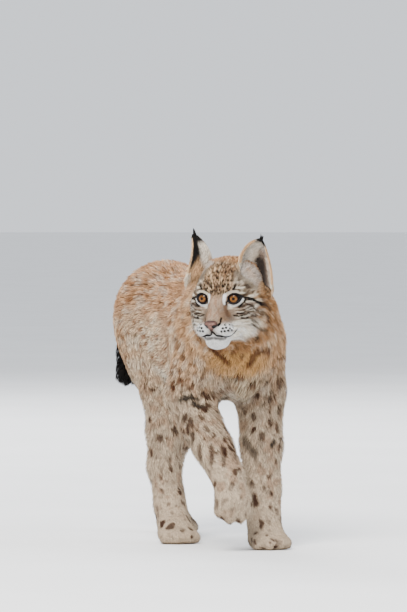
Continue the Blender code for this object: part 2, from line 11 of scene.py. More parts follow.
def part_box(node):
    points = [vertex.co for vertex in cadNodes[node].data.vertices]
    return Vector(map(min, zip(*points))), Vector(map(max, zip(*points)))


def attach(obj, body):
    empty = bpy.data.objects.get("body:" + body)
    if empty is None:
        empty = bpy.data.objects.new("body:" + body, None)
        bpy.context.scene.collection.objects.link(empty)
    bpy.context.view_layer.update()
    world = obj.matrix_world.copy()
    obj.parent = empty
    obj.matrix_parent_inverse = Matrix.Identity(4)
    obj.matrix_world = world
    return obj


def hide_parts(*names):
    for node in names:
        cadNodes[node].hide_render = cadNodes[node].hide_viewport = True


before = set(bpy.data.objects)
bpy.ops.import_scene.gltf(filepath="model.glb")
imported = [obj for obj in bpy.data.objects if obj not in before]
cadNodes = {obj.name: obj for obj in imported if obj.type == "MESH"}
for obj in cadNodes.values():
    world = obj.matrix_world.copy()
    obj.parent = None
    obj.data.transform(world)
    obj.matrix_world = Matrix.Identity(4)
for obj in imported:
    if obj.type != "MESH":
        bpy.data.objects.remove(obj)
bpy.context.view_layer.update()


def turned(yaw=0.0, pitch=0.0, roll=0.0):
    # degrees: yaw to the left, pitch nose down, roll right side down
    return (
        Matrix.Rotation(math.radians(yaw), 4, "Z")
        @ Matrix.Rotation(math.radians(pitch), 4, "Y")
        @ Matrix.Rotation(math.radians(roll), 4, "X")
    )


def middleOf(node):
    low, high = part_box(node)
    return (low + high) / 2


# The head's own frame: origin midway between the eyeballs, x where the face points, y its left
headPitch = 8.0  # degrees, nose down
eyeAt = {1: middleOf("eye_l"), -1: middleOf("eye_r")}
eyeMiddle = (eyeAt[1] + eyeAt[-1]) / 2
eyeAcross = (eyeAt[1] - eyeAt[-1]).normalized()
headYaw = math.degrees(math.atan2(-eyeAcross.x, eyeAcross.y))
headFrame = Matrix.Translation(eyeMiddle) @ turned(headYaw, headPitch)
headTurn = headFrame.to_3x3().to_4x4()
toHead = headFrame.inverted()
drawnEyes = Vector((0.296, -0.074, 0.401))  # midway between the eyes where the part is drawn
bodyShift = eyeMiddle - drawnEyes


def placedBy(matrix, points):
    full = np.array(matrix)
    return np.asarray(points, float) @ full[:3, :3].T + full[:3, 3]


def turnedBy(matrix, vectors):
    return np.asarray(vectors, float) @ np.array(matrix)[:3, :3].T


def newObject(name, data):
    made = bpy.data.objects.new(name, data)
    bpy.context.scene.collection.objects.link(made)
    return made


def aimed(obj, place, aim):
    obj.location = place
    obj.rotation_euler = (Vector(aim) - Vector(place)).to_track_quat("-Z", "Y").to_euler()


camera = {
    "metresPerPixel": 0.00158,
    "distance": 8.0,
    "toTheRight": 21.0,  # degrees that the camera stands to the animal's right
    "chest": 0.200,
    "chestPixel": 242,
    "floorPixel": 550,
    "horizonPixel": 190,
    "width": 407,
    "height": 612,
    "sensor": 36.0,
}


def setCamera():
    c = camera
    scale, turn = c["metresPerPixel"], math.radians(c["toTheRight"])
    right = Vector((math.sin(turn), math.cos(turn), 0.0))
    ahead = Vector((-math.cos(turn), math.sin(turn), 0.0))
    offAxis = (c["chestPixel"] - c["width"] / 2) * scale
    anchor = Vector((c["chest"], 0.0, 0.0)) - right * offAxis + bodyShift
    lensHigh = (c["floorPixel"] - c["horizonPixel"]) * scale
    aimHigh = (c["floorPixel"] - c["height"] / 2) * scale
    lens = bpy.data.cameras.new("camera")
    lens.sensor_width = c["sensor"]
    lens.lens = c["sensor"] * c["distance"] / (c["height"] * scale)
    lens.clip_end = 200.0
    made = newObject("camera", lens)
    stand = anchor - ahead * c["distance"] + Vector((0.0, 0.0, lensHigh))
    aimed(made, stand, anchor + Vector((0.0, 0.0, aimHigh)))
    bpy.context.scene.camera = made


studio = {
    "world": (0.84, 0.88, 0.94),
    "worldStrength": 1.25,
    "aim": (0.0, 0.0, 0.3),
    "lamps": [
        # place, size, watts, colour
        ((4.2, -3.2, 4.6), 3.0, 900.0, (1.0, 0.97, 0.92)),
        ((3.0, 4.5, 2.6), 4.0, 130.0, (0.93, 0.97, 1.0)),
        ((-4.5, 0.5, 4.0), 3.5, 420.0, (0.97, 0.98, 1.0)),
    ],
}


def setLights():
    world = bpy.data.worlds.new("studio")
    bpy.context.scene.world = world
    world.use_nodes = True
    back = world.node_tree.nodes["Background"]
    back.inputs["Color"].default_value = (*studio["world"], 1.0)
    back.inputs["Strength"].default_value = studio["worldStrength"]
    for n, (place, size, watts, colour) in enumerate(studio["lamps"]):
        lamp = bpy.data.lights.new(f"softbox{n + 1}", "AREA")
        lamp.shape = "DISK"
        lamp.size = size
        lamp.energy = watts
        lamp.color = colour
        aimed(newObject(lamp.name, lamp), place, studio["aim"])


class Wire:
    # a socket of one material's tree; sums and products of wires add Math nodes
    def __init__(self, tree, socket=None):
        self.tree = tree
        self.socket = socket

    def node(self, kind, settings=None, values=None, out=0):
        made = self.tree.nodes.new("ShaderNode" + kind)
        for key, value in (settings or {}).items():
            if key == "stops":
                stops = made.color_ramp.elements
                while len(stops) < len(value):
                    stops.new(0.5)
                for stop, (place, colour) in zip(stops, value):
                    stop.position = place
                    stop.color = (*colour, 1.0)
            else:
                setattr(made, key, value)
        for key, value in (values or {}).items():
            if isinstance(value, Wire):
                self.tree.links.new(value.socket, made.inputs[key])
            else:
                made.inputs[key].default_value = value
        return Wire(self.tree, made.outputs[out])

    def math(self, operation, *values):
        return self.node("Math", {"operation": operation}, dict(enumerate(values)))

    def __add__(self, other):
        return self.math("ADD", self, other)

    def __radd__(self, other):
        return self.math("ADD", other, self)

    def __sub__(self, other):
        return self.math("SUBTRACT", self, other)

    def __rsub__(self, other):
        return self.math("SUBTRACT", other, self)

    def __mul__(self, other):
        return self.math("MULTIPLY", self, other)

    def __rmul__(self, other):
        return self.math("MULTIPLY", other, self)

    def mixed(self, other, share, how="MIX"):
        # colours only: sockets 0, 6 and 7 of a Mix node are its factor, A and B
        settings = {"data_type": "RGBA", "blend_type": how}
        return self.node("Mix", settings, {0: share, 6: self, 7: other}, out=2)

    def lit(self, level):
        # a colour, made darker or brighter by a number
        grey = self.node("CombineColor", {}, {0: level, 1: level, 2: level})
        return self.mixed(grey, 1.0, "MULTIPLY")

    def coloured(self, stops):
        return self.node("ValToRGB", {"stops": stops}, {"Fac": self})

    def smoothStep(self, low, high):
        # 0 below low, 1 above high
        return self.node("MapRange", {"interpolation_type": "SMOOTHSTEP"}, {
            "Value": self, "From Min": low, "From Max": high, "To Min": 0.0, "To Max": 1.0,
        })

    def noise(self, scale, detail, **more):
        return self.node("TexNoise", {}, {"Vector": self, "Scale": scale, "Detail": detail, **more})

    def bump(self, strength, distance):
        return self.node("Bump", {}, {"Height": self, "Strength": strength, "Distance": distance})

    def within(self, place):
        # this place, seen in another frame
        values = {"Vector": self, "Location": place.translation, "Rotation": place.to_euler()}
        return self.node("Mapping", {"vector_type": "TEXTURE"}, values)

    def along(self, axis):
        return self.node("SeparateXYZ", {}, {0: self}, out=axis)


def newMaterial(name, **fixed):
    # gives the material, where on the object it is asked for, and its shader
    made = bpy.data.materials.new(name)
    made.use_nodes = True
    shader = made.node_tree.nodes["Principled BSDF"]
    for key, value in fixed.items():
        shader.inputs[key.replace("_", " ")].default_value = value
    return made, Wire(made.node_tree).node("TexCoord", out="Object"), shader


def feed(wire, shader, key):
    wire.tree.links.new(wire.socket, shader.inputs[key])


def linear(*colour):
    # a colour given from 0 to 255, as the renderer's own numbers
    value = np.array(colour, float) / 255.0
    return np.where(value <= 0.04045, value / 12.92, ((value + 0.055) / 1.055) ** 2.4)


def columns(*values):
    return np.stack(np.broadcast_arrays(*values), axis=1)


cellMix = {
    "axes": (73856093, 19349663, 83492791),
    "seed": (7919, 13),
    "stirs": ((13, 1274126177), (15, 2246822519)),
}


def cellValue(cells, seed):
    # one number from 0 to 1 for each cell of a grid, the same each time
    x, y, z = (cells * np.array(cellMix["axes"])).T
    times, more = cellMix["seed"]
    code = x ^ y ^ z ^ (seed * times + more)
    for shift, factor in cellMix["stirs"]:
        code = ((code ^ (code >> shift)) & 0xFFFFFFFF) * factor & 0xFFFFFFFF
    return (code ^ (code >> 16)) / 4294967295.0


def softNoise(points, size, seed):
    # runs smoothly between 0 and 1, with lumps of about that size
    cells = points / size
    base = np.floor(cells).astype(np.int64)
    part = cells - base
    part = part * part * (3.0 - 2.0 * part)
    total = np.zeros(len(points))
    for corner in np.ndindex(2, 2, 2):
        share = np.prod(np.where(np.array(corner) == 1, part, 1.0 - part), axis=1)
        total += share * cellValue(base + np.array(corner), seed)
    return total


def dabs(points, size, seed, margin=0.15):
    # how far the nearest of many scattered dabs is, as a share of their spacing, and its own number
    cells = points / size
    base = np.floor(cells).astype(np.int64)
    best = np.full(len(points), np.inf)
    own = np.zeros(len(points))
    for step in np.ndindex(3, 3, 3):
        cell = base + np.array(step) - 1
        inCell = columns(*(cellValue(cell, seed + n) for n in range(3)))
        far = np.linalg.norm(cells - (inCell * (1 - 2 * margin) + margin + cell), axis=1)
        closer = far < best
        best[closer] = far[closer]
        own[closer] = cellValue(cell[closer], seed + 3)
    return best, own


def ramp(value, none, full):
    # runs smoothly from 0 to 1, also where full is the lower figure
    share = np.clip((value - none) / (full - none), 0.0, 1.0)
    return share * share * (3.0 - 2.0 * share)


def region(limits, **axes):
    # the product of some ramps, each given as its axis, where it is none and where it is full
    share = 1.0
    for axis, none, full in limits:
        share = share * ramp(axes[axis], none, full)
    return share


def headAxes(head):
    return {"x": head[:, 0], "side": np.abs(head[:, 1]), "z": head[:, 2]}


def unit(vectors):
    return vectors / np.maximum(np.linalg.norm(vectors, axis=1, keepdims=True), 1e-9)


def alongLine(points, line):
    # how far each point is from a line of points, and which way the line runs there
    line = np.array(line, float)
    best = np.full(len(points), np.inf)
    way = np.zeros(points.shape)
    for a, b in zip(line, line[1:]):
        along = b - a
        share = np.clip((points - a) @ along / (along @ along), 0.0, 1.0)
        far = np.linalg.norm(points - a - share[:, None] * along, axis=1)
        closer = far < best
        best[closer] = far[closer]
        way[closer] = along / np.linalg.norm(along)
    return best, way


skinMake = {
    "flesh": ("head", "neck", "torso", "tail", "foreleg_l", "foreleg_r", "hindleg_l", "hindleg_r"),
    "alsoFilled": ("eye_l", "eye_r", "nose"),
    "grow": 0.0006,
    "voxel": 0.0036,
    "smoothing": 10,
    "unsmoothed": {"x": (-0.050, -0.035), "halfWide": 0.056, "middle": -0.012, "halfHigh": 0.072},
    # boxes of the face that get finer, one within the other: from x on, half the width, bottom, top
    "finer": ((-0.040, 0.054, -0.080, 0.052), (-0.004, 0.043, -0.062, 0.018)),
    "follows": (("x", -0.042, -0.025), ("z", -0.085, -0.070), ("z", 0.055, 0.040)),
    "followReach": 0.006,
    "noseTip": (0.048, 0.0, -0.036),
}
# Middle lines of the legs and the tail, as the part has them: they give the lie of the hair
limbLines = {
    "foreleg_l": [(0.158, 0.042, 0.33), (0.150, 0.050, 0.25), (0.172, 0.044, 0.165),
                  (0.178, 0.042, 0.095), (0.190, 0.042, 0.036), (0.235, 0.044, 0.010)],
    "foreleg_r": [(0.152, -0.046, 0.328), (0.148, -0.068, 0.245), (0.185, -0.064, 0.198),
                  (0.215, -0.055, 0.165), (0.250, -0.042, 0.118), (0.262, -0.036, 0.045)],
    "hindleg_l": [(-0.155, 0.038, 0.335), (-0.140, 0.048, 0.245), (-0.205, 0.050, 0.175),
                  (-0.262, 0.047, 0.122), (-0.248, 0.045, 0.060), (-0.232, 0.045, 0.030),
                  (-0.187, 0.047, 0.010)],
    "hindleg_r": [(-0.138, -0.034, 0.335), (-0.058, -0.037, 0.24), (-0.034, -0.042, 0.180),
                  (-0.036, -0.044, 0.122), (-0.008, -0.044, 0.060), (0.012, -0.044, 0.030),
                  (0.058, -0.046, 0.010)],
    "tail": [(-0.212, 0.002, 0.380), (-0.250, -0.008, 0.348), (-0.264, -0.016, 0.303),
             (-0.266, -0.022, 0.250)],
}
limbLines = {name: np.array(line) + np.array(bodyShift) for name, line in limbLines.items()}
pawAt = {name: line[-2] * 0.6 + line[-1] * 0.4 for name, line in limbLines.items() if name != "tail"}


def mergedCopy(node, grow=0.0):
    made = bmesh.new()
    made.from_mesh(cadNodes[node].data)
    bmesh.ops.remove_doubles(made, verts=made.verts, dist=1e-5)
    made.normal_update()
    for vert in made.verts:
        vert.co += vert.normal * grow
    return made


def treeOf(nodes):
    points, faces, owner = [], [], []
    for n, node in enumerate(nodes):
        made = mergedCopy(node)
        start = len(points)
        points += [vert.co.copy() for vert in made.verts]
        made.verts.index_update()
        for face in made.faces:
            faces.append([start + vert.index for vert in face.verts])
            owner.append(n)
        made.free()
    return BVHTree.FromPolygons(points, faces), owner


def readPoints(mesh):
    points = np.empty(len(mesh.vertices) * 3, np.float32)
    mesh.vertices.foreach_get("co", points)
    return points.reshape(-1, 3).astype(float)


def writePoints(mesh, points):
    mesh.vertices.foreach_set("co", np.asarray(points, np.float32).ravel())
    mesh.update()


def meshObject(name, made):
    mesh = bpy.data.meshes.new(name)
    made.to_mesh(mesh)
    made.free()
    return newObject(name, mesh)


def applied(obj):
    # the object's modifiers, applied for good
    graph = bpy.context.evaluated_depsgraph_get()
    mesh = bpy.data.meshes.new_from_object(obj.evaluated_get(graph))
    obj.modifiers.clear()
    obj.data = mesh
    return obj


def summed(index, rows, size):
    # adds up the rows that share an index
    return columns(*(np.bincount(index, weights=column, minlength=size) for column in rows.T))


class Surface:
    # the skin's points, edges and triangles as arrays, with what is known about each point
    def __init__(self, mesh):
        self.points = readPoints(mesh)
        edges = np.empty(len(mesh.edges) * 2, np.int32)
        mesh.edges.foreach_get("vertices", edges)
        self.edges = edges.reshape(-1, 2)
        mesh.calc_loop_triangles()
        corners = np.empty(len(mesh.loop_triangles) * 3, np.int32)
        mesh.loop_triangles.foreach_get("vertices", corners)
        self.triangles = corners.reshape(-1, 3)
        self.links = np.bincount(self.edges.ravel(), minlength=len(self.points)).astype(float)

    def spread(self, values, times, keep=0.5):
        # averages values along the edges
        first, second = self.edges.T
        for _ in range(times):
            total = summed(first, values[second], len(values)) + summed(second, values[first], len(values))
            values = values * keep + total / self.links[:, None] * (1.0 - keep)
        return values

    def crosses(self, points):
        a, b, c = (points[self.triangles[:, n]] for n in range(3))
        return np.cross(b - a, c - a)

    def normals(self, points):
        cross = self.crosses(points)
        return unit(sum(summed(self.triangles[:, corner], cross, len(points)) for corner in range(3)))

    def areas(self):
        return np.linalg.norm(self.crosses(self.points), axis=1) / 2


lidMake = {
    "eyeRadius": 0.0124,
    "thick": 0.0011,
    "half": (0.0110, 0.0078),  # the opening, half its width and height
    "almond": 0.63,
    "turn": (12.0, -3.0, 10.0),  # degrees of yaw, pitch and roll
    "reach": 0.012,
    "edge": 0.0002,
    "sunk": 0.0025,
    "bare": 0.0006,
}


def lidFrame(side):
    yaw, pitch, roll = lidMake["turn"]
    return Matrix.Translation(eyeAt[side]) @ headTurn @ turned(side * yaw, pitch, side * roll)


def lidOutline(angle):
    halfWide, halfHigh = lidMake["half"]
    roundness, high = lidMake["almond"], np.sin(angle)
    return halfWide * np.cos(angle), halfHigh * high * (roundness + (1.0 - roundness) * np.abs(high))


def outsideLids(local):
    # how far outside the almond opening a point lies, seen along the line of sight; below 0 is inside
    halfWide, halfHigh = lidMake["half"]
    y, z = lidOutline(np.arctan2(local[:, 2] / halfHigh, local[:, 1] / halfWide))
    return np.hypot(local[:, 1], local[:, 2]) - np.hypot(y, z)


def refined(mesh, low, wide, bottom, top):
    # halves the edges inside one box of the head's frame
    made = bmesh.new()
    made.from_mesh(mesh)
    chosen = set()
    for face in made.faces:
        at = toHead @ face.calc_center_median()
        if at.x > low and abs(at.y) < wide and bottom < at.z < top:
            chosen.update(face.edges)
    bmesh.ops.subdivide_edges(made, edges=list(chosen), cuts=1, use_grid_fill=True)
    made.to_mesh(mesh)
    made.free()


def buildSkin():
    joined = bmesh.new()
    for node in skinMake["flesh"] + skinMake["alsoFilled"]:
        copy = mergedCopy(node, skinMake["grow"])
        mesh = bpy.data.meshes.new("copy")
        copy.to_mesh(mesh)
        copy.free()
        joined.from_mesh(mesh)
        bpy.data.meshes.remove(mesh)
    obj = meshObject("skin", joined)
    remesh = obj.modifiers.new("oneSkin", "REMESH")
    remesh.mode = "VOXEL"
    remesh.voxel_size = skinMake["voxel"]
    applied(obj)
    print("skin: remeshed to", len(obj.data.polygons), "faces")

    rough = Surface(obj.data)
    head = placedBy(toHead, rough.points)
    kept = skinMake["unsmoothed"]
    inFace = ramp(head[:, 0], *kept["x"]) * (np.abs(head[:, 1]) < kept["halfWide"])
    inFace *= np.abs(head[:, 2] - kept["middle"]) < kept["halfHigh"]
    smooth = rough.spread(rough.points, skinMake["smoothing"])
    writePoints(obj.data, smooth + (rough.points - smooth) * inFace[:, None])

    for box in skinMake["finer"]:
        refined(obj.data, *box)
    triangulated = bmesh.new()
    triangulated.from_mesh(obj.data)
    bmesh.ops.triangulate(triangulated, faces=triangulated.faces)
    triangulated.to_mesh(obj.data)
    triangulated.free()

    # the face follows the carved head again
    surface = Surface(obj.data)
    tree, _ = treeOf(("head", "eye_l", "eye_r", "nose"))
    share = region(skinMake["follows"], **headAxes(placedBy(toHead, surface.points)))
    points = surface.points.copy()
    for n in np.nonzero(share > 0.01)[0]:
        near = tree.find_nearest(Vector(points[n]), skinMake["followReach"])[0]
        if near is not None:
            points[n] += (np.array(near) - points[n]) * share[n]
    eased = surface.spread(points, 3)
    surface.points = points + (eased - points) * share[:, None]
    print("skin:", len(surface.triangles), "triangles")
    return obj, surface


coatDepth = {
    "neck": 0.0085, "torso": 0.0075, "tail": 0.0055,
    "foreleg_l": 0.0048, "foreleg_r": 0.0048, "hindleg_l": 0.0050, "hindleg_r": 0.0050,
    "paw": 0.0016,
    # on the head by the distance from the nose
    "headReach": (0.0, 0.030, 0.050, 0.080, 0.110, 0.140),
    "headDepth": (0.0007, 0.0012, 0.0020, 0.0045, 0.0075, 0.0085),
    "crownAt": (-0.028, 0.014, 0.052),
    "crownMore": 0.0035,
    "crownSize": 0.022,
}
lowLegs = {"cut": 0.35, "height": (0.24, 0.06)}  # the coat gets thinner and shorter down the legs
pawReach = (0.085, 0.040)


def studySkin(surface):
    # what the coat needs to know at each point of the skin
    flesh = skinMake["flesh"]
    tree, owner = treeOf(flesh)
    share = np.zeros((len(surface.points), len(flesh)))
    for n, point in enumerate(surface.points):
        share[n, owner[tree.find_nearest(Vector(point))[2]]] = 1.0
    surface.share = surface.spread(share, 24)
    surface.outer = surface.points.copy()
    surface.outerNormal = surface.normals(surface.spread(surface.points, 2))
    surface.head = placedBy(toHead, surface.outer)
    surface.reach = np.linalg.norm(surface.head - np.array(skinMake["noseTip"]), axis=1)
    paws = columns(*(np.linalg.norm(surface.outer - at, axis=1) for at in pawAt.values())).min(axis=1)
    surface.paw = ramp(paws, *pawReach)
    surface.lowCut = 1.0 - lowLegs["cut"] * ramp(surface.outer[:, 2], *lowLegs["height"])
    crown = np.linalg.norm(surface.head - np.array(coatDepth["crownAt"]), axis=1)
    onHead = np.interp(surface.reach, coatDepth["headReach"], coatDepth["headDepth"])
    onHead += coatDepth["crownMore"] * np.exp(-((crown / coatDepth["crownSize"]) ** 2))
    depth = 0.0
    for n, node in enumerate(flesh):
        depth = depth + surface.share[:, n] * (onHead if node == "head" else coatDepth[node])
    depth *= surface.lowCut
    depth += (coatDepth["paw"] - depth) * surface.paw
    surface.depth = surface.spread(depth[:, None], 6)[:, 0]


coatLie = {
    # ways that the coat runs: x ahead, y outwards, z up
    "trunk": (-1.0, 0.0, -0.35),
    "breastAndRump": (-0.08, 0.0, -1.0),
    "belly": (-1.0, 0.0, -0.1),
    "bellyTurns": (-0.09, -0.13),  # between the hind legs it runs forward
    "face": (-0.35, 0.0, 0.0),
    "cheek": (-0.55, 0.32, -0.75),
    "chin": (-0.75, 0.0, -0.55),
    # where each of them holds
    "front": [("ahead", 0.15, 0.75)],
    "rear": [("ahead", -0.35, -0.85)],
    "under": [("up", -0.2, -0.8)],
    "onCheek": [("reach", 0.045, 0.085), ("z", 0.012, -0.020)],
    "onChin": [("z", -0.056, -0.066), ("x", -0.02, 0.01)],
}


def lieOfCoat(surface):
    outward, at, head = surface.outerNormal, surface.outer, surface.head
    axes = {"ahead": outward[:, 0], "up": outward[:, 2], "reach": surface.reach, **headAxes(head)}
    front, rear, under, onCheek, onChin = (
        region(coatLie[name], **axes)[:, None] for name in ("front", "rear", "under", "onCheek", "onChin")
    )
    trunk = np.array(coatLie["trunk"]) * (1 - front) * (1 - rear)
    trunk = trunk + np.array(coatLie["breastAndRump"]) * (front + rear)
    turn = 1.0 - 2.0 * ramp(at[:, 0], *coatLie["bellyTurns"])
    belly = np.array(coatLie["belly"]) * columns(turn, 1.0, 1.0)
    trunk = trunk * (1 - under) + belly * under
    face = unit(head - np.array(skinMake["noseTip"])) + np.array(coatLie["face"])
    drop = np.array(coatLie["cheek"]) * columns(1.0, np.sign(head[:, 1]), 1.0)
    face = face * (1 - onCheek) + drop * onCheek
    face = face * (1 - onChin) + np.array(coatLie["chin"]) * onChin
    lie = np.zeros_like(at)
    for n, node in enumerate(skinMake["flesh"]):
        if node == "head":
            own = turnedBy(headFrame, face)
        elif node in limbLines:
            own = alongLine(at, limbLines[node])[1]
        else:
            own = trunk
        lie += surface.share[:, n:n + 1] * unit(own)
    for _ in range(3):
        lie = surface.spread(lie, 5)
        lie = unit(lie - outward * (lie * outward).sum(1, keepdims=True))
    surface.lie = lie


mouthLine = [(0.0480, 0.0, -0.0505), (0.0440, 0.0090, -0.0550), (0.0345, 0.0200, -0.0562),
             (0.0215, 0.0290, -0.0550), (0.0100, 0.0345, -0.0510)]
mouthGroove = {"deep": 0.0016, "wide": 0.0020}


def carveFace(surface):
    # sinks the skin below the coat, opens the lids over the eyes and presses in the mouth
    points = surface.outer - surface.outerNormal * surface.depth[:, None]
    points = surface.spread(points, 2) * 0.5 + points * 0.5
    radius, edge = lidMake["eyeRadius"], lidMake["edge"]
    least = radius + lidMake["thick"]
    surface.bare = np.zeros(len(points))
    surface.nearEye = np.full(len(points), 1.0)
    for side in (1, -1):
        local = placedBy(lidFrame(side).inverted(), points)
        far = np.linalg.norm(local, axis=1)
        outside = outsideLids(local)
        near = (local[:, 0] > 0.0) & (far < radius + lidMake["reach"])
        hidden = near & (outside <= edge)
        covered = near & (outside > edge) & (far < least)
        scale = np.ones(len(points))
        scale[hidden] = (radius - lidMake["sunk"]) / far[hidden]
        scale[covered] = least / far[covered]
        points = placedBy(lidFrame(side), local * scale[:, None])
        surface.bare = np.maximum(surface.bare, (near & (outside < lidMake["bare"])).astype(float))
        closer = np.minimum(surface.nearEye, np.maximum(outside, 0.0))
        surface.nearEye = np.where(near, closer, surface.nearEye)
    head = placedBy(toHead, points)
    head[:, 1] = np.abs(head[:, 1])
    surface.mouth = alongLine(head, mouthLine)[0]
    groove = mouthGroove["deep"] * np.exp(-((surface.mouth / mouthGroove["wide"]) ** 2))
    surface.points = points - surface.outerNormal * groove[:, None]


# Colours of the coat
tone = {
    "back": linear(206, 160, 118),
    "flank": linear(228, 198, 164),
    "belly": linear(230, 220, 204),
    "shoulder": linear(216, 172, 128),
    "leg": linear(206, 184, 158),
    "mottle": linear(134, 86, 50),
    "spot": linear(98, 58, 34),
    # this tone colours the leg spots, and also the painted shadows across the right forearm
    "legSpotAndShade": linear(70, 44, 30),
    "bib": linear(206, 158, 98),
    "collar": linear(84, 44, 20),
    "chest": linear(212, 190, 158),
    "white": linear(250, 248, 244),
    "cream": linear(240, 226, 204),
    "crown": linear(200, 154, 108),
    "bridge": linear(164, 142, 122),
    "muzzle": linear(160, 128, 100),
    "cheek": linear(146, 126, 108),
    "tan": linear(178, 142, 106),
    "ruff": linear(164, 118, 76),
    "tear": linear(124, 86, 58),
    "streak": linear(216, 186, 150),
    "black": linear(18, 14, 12),
    "dark": linear(46, 32, 24),
    "earGrey": linear(188, 178, 168),
    "earOrange": linear(222, 164, 98),
    "temple": linear(128, 114, 98),
    "lip": linear(14, 10, 10),
}


# Strokes of the face in its own frame, in millimetres, for the left side and mirrored
strokes = [
    # tone, half width, softness, strength, points
    ("temple", 5.0, 5.0, 0.75, [(-4, 30.5, 38), (-14.6, 41.2, 27.6), (-28.3, 50.6, 14.8)]),
    ("earGrey", 6.0, 6.0, 0.85, [(-28, 29, 49), (-36, 34, 51), (-40, 40, 48), (-42, 47, 40), (-51, 51, 28)]),
    ("earGrey", 5.0, 6.0, 0.60, [(-21, 37, 37.6), (-28, 44, 33), (-36, 51, 22.7)]),
    ("white", 2.2, 1.5, 1.0, [(16, 14, 6), (18, 13.4, 0), (19.8, 13.6, -5.4)]),
    ("white", 1.5, 1.0, 1.0, [(12.5, 17.5, -9.6), (10.8, 23.7, -11.7), (10.3, 29.6, -10), (8.6, 35.2, -6.4),
                              (4, 39.8, -1)]),
    ("cream", 1.6, 2.2, 0.8, [(12.6, 17.6, -13.6), (11.0, 20.8, -13.6)]),
    ("cream", 1.5, 2.2, 0.75, [(15, 17.5, 8), (12.7, 25.4, 10.6), (8, 33.8, 9.6)]),
    ("tear", 2.6, 4.5, 0.70, [(20.1, 14.8, -13), (18.5, 15, -18), (16.2, 16.9, -24)]),
    ("dark", 1.0, 1.3, 0.90, [(15.8, 15.9, -4), (16.4, 15.7, -8.5)]),
    ("black", 1.4, 0.9, 1.0, [(5.1, 37.5, 3.9), (0.4, 42.7, 1.5), (-4.1, 47.6, -0.8)]),
    ("black", 2.1, 1.4, 1.0, [(-3, 46.5, -0.5), (-8.6, 51.1, -3.3), (-18, 56.7, -10), (-25.8, 60.3, -14)]),
    ("black", 1.25, 0.8, 1.0, [(9, 33, -13), (8, 36, -10.4), (6, 39, -7.6), (1.3, 43.4, -2)]),
    ("dark", 1.2, 1.0, 0.9, [(4.4, 41.5, -6.6), (-3.6, 50.4, -14), (-14.2, 55.6, -21.9), (-22, 58.9, -30)]),
    ("black", 0.7, 0.7, 1.0, [(9.9, 28.8, -23.4), (7.5, 37, -22.8), (-0.1, 48.1, -17.9), (-6, 52, -17)]),
    ("black", 0.8, 0.7, 1.0, [(11.4, 24.2, -25.5), (9.2, 31.3, -27.8), (5.8, 39.2, -26.8), (1, 46.5, -23.5)]),
    ("dark", 0.9, 0.8, 0.9, [(7.5, 38.2, -18.7), (3.3, 44.9, -15.5), (-0.3, 48.3, -13.6), (-7, 52.5, -12.5)]),
    ("dark", 0.9, 0.8, 0.8, [(7, 38, -13.5), (3, 43, -11.5)]),
    ("black", 1.5, 0.9, 0.95, [(7.5, 35, -30.9), (5, 38, -31)]),
    ("black", 1.5, 0.9, 0.95, [(2.6, 41.6, -31.5), (1, 43, -31.5)]),
    ("dark", 1.4, 1.4, 0.85, [(-3, 48, -27), (-10, 53, -28)]),
    ("dark", 1.7, 1.6, 0.8, [(-5, 49, -35.5), (-13, 53.5, -39)]),
    ("dark", 1.8, 1.8, 0.8, [(-6.4, 48, -42), (-18.9, 54.5, -49.4), (-34.2, 60.3, -50)]),
    ("dark", 1.8, 2.0, 0.7, [(-20, 59, -22), (-31, 63, -30), (-41, 64, -42)]),
    ("dark", 1.6, 2.0, 0.7, [(-29, 61, -12), (-40, 65, -24)]),
    ("black", 2.3, 2.2, 0.95, [(-21.5, 49.2, -61), (-22.4, 46.8, -69)]),
    ("black", 1.7, 1.1, 1.0, [(13.1, 27.3, 15.4), (12.5, 28.7, 18), (10.8, 29.8, 21)]),
    ("dark", 1.3, 1.6, 0.8, [(10.8, 29.8, 21), (8, 31.5, 26)]),
    ("black", 1.5, 0.9, 1.0, [(49.3, 9.9, -36.9), (45, 12, -35.2), (42.2, 12.6, -33.4)]),
    ("black", 1.3, 0.9, 1.0, [(39.5, 12.9, -31), (35, 12.9, -26.3)]),
    ("black", 2.0, 1.2, 1.0, [(44, 9, -55), (34.5, 20, -56.2), (21.5, 29, -55), (10, 34.5, -51)]),
    # dark band below the mouth: partly the lower lip's own dark skin, partly painted shade under the upper
    # lip
    ("dark", 2.0, 2.2, 0.80, [(42, 0, -58), (40.3, 6, -58), (37, 14, -59.5), (33, 20, -59.5)]),
]
whiskerDots = [
    (39, 19.9, -35.7), (33, 25.3, -36.1), (27, 27.6, -36.8), (43.9, 17.4, -40.6), (41.6, 22.1, -40),
    (37.5, 27.1, -41.4), (29, 29.5, -41.8), (45.1, 15.1, -45.7), (43.9, 20.2, -45.4), (41.1, 25.2, -44.8),
    (34.7, 29.4, -45.4),
]
whiskerDot = {"half": 1.8, "soft": 0.7}


class Paint:
    # colours at many points, where further tones are laid on one after the other
    def __init__(self, colour, count=None):
        self.colour = np.tile(tone[colour], (count, 1)) if count else colour

    def lay(self, name, share):
        self.colour = self.colour + (tone[name] - self.colour) * np.clip(share, 0.0, 1.0)[:, None]

    def draw(self, lines, at, wobble):
        for name, half, soft, strength, line in lines:
            self.lay(name, strength * ramp(alongLine(at, line)[0] + wobble, half + soft, half))


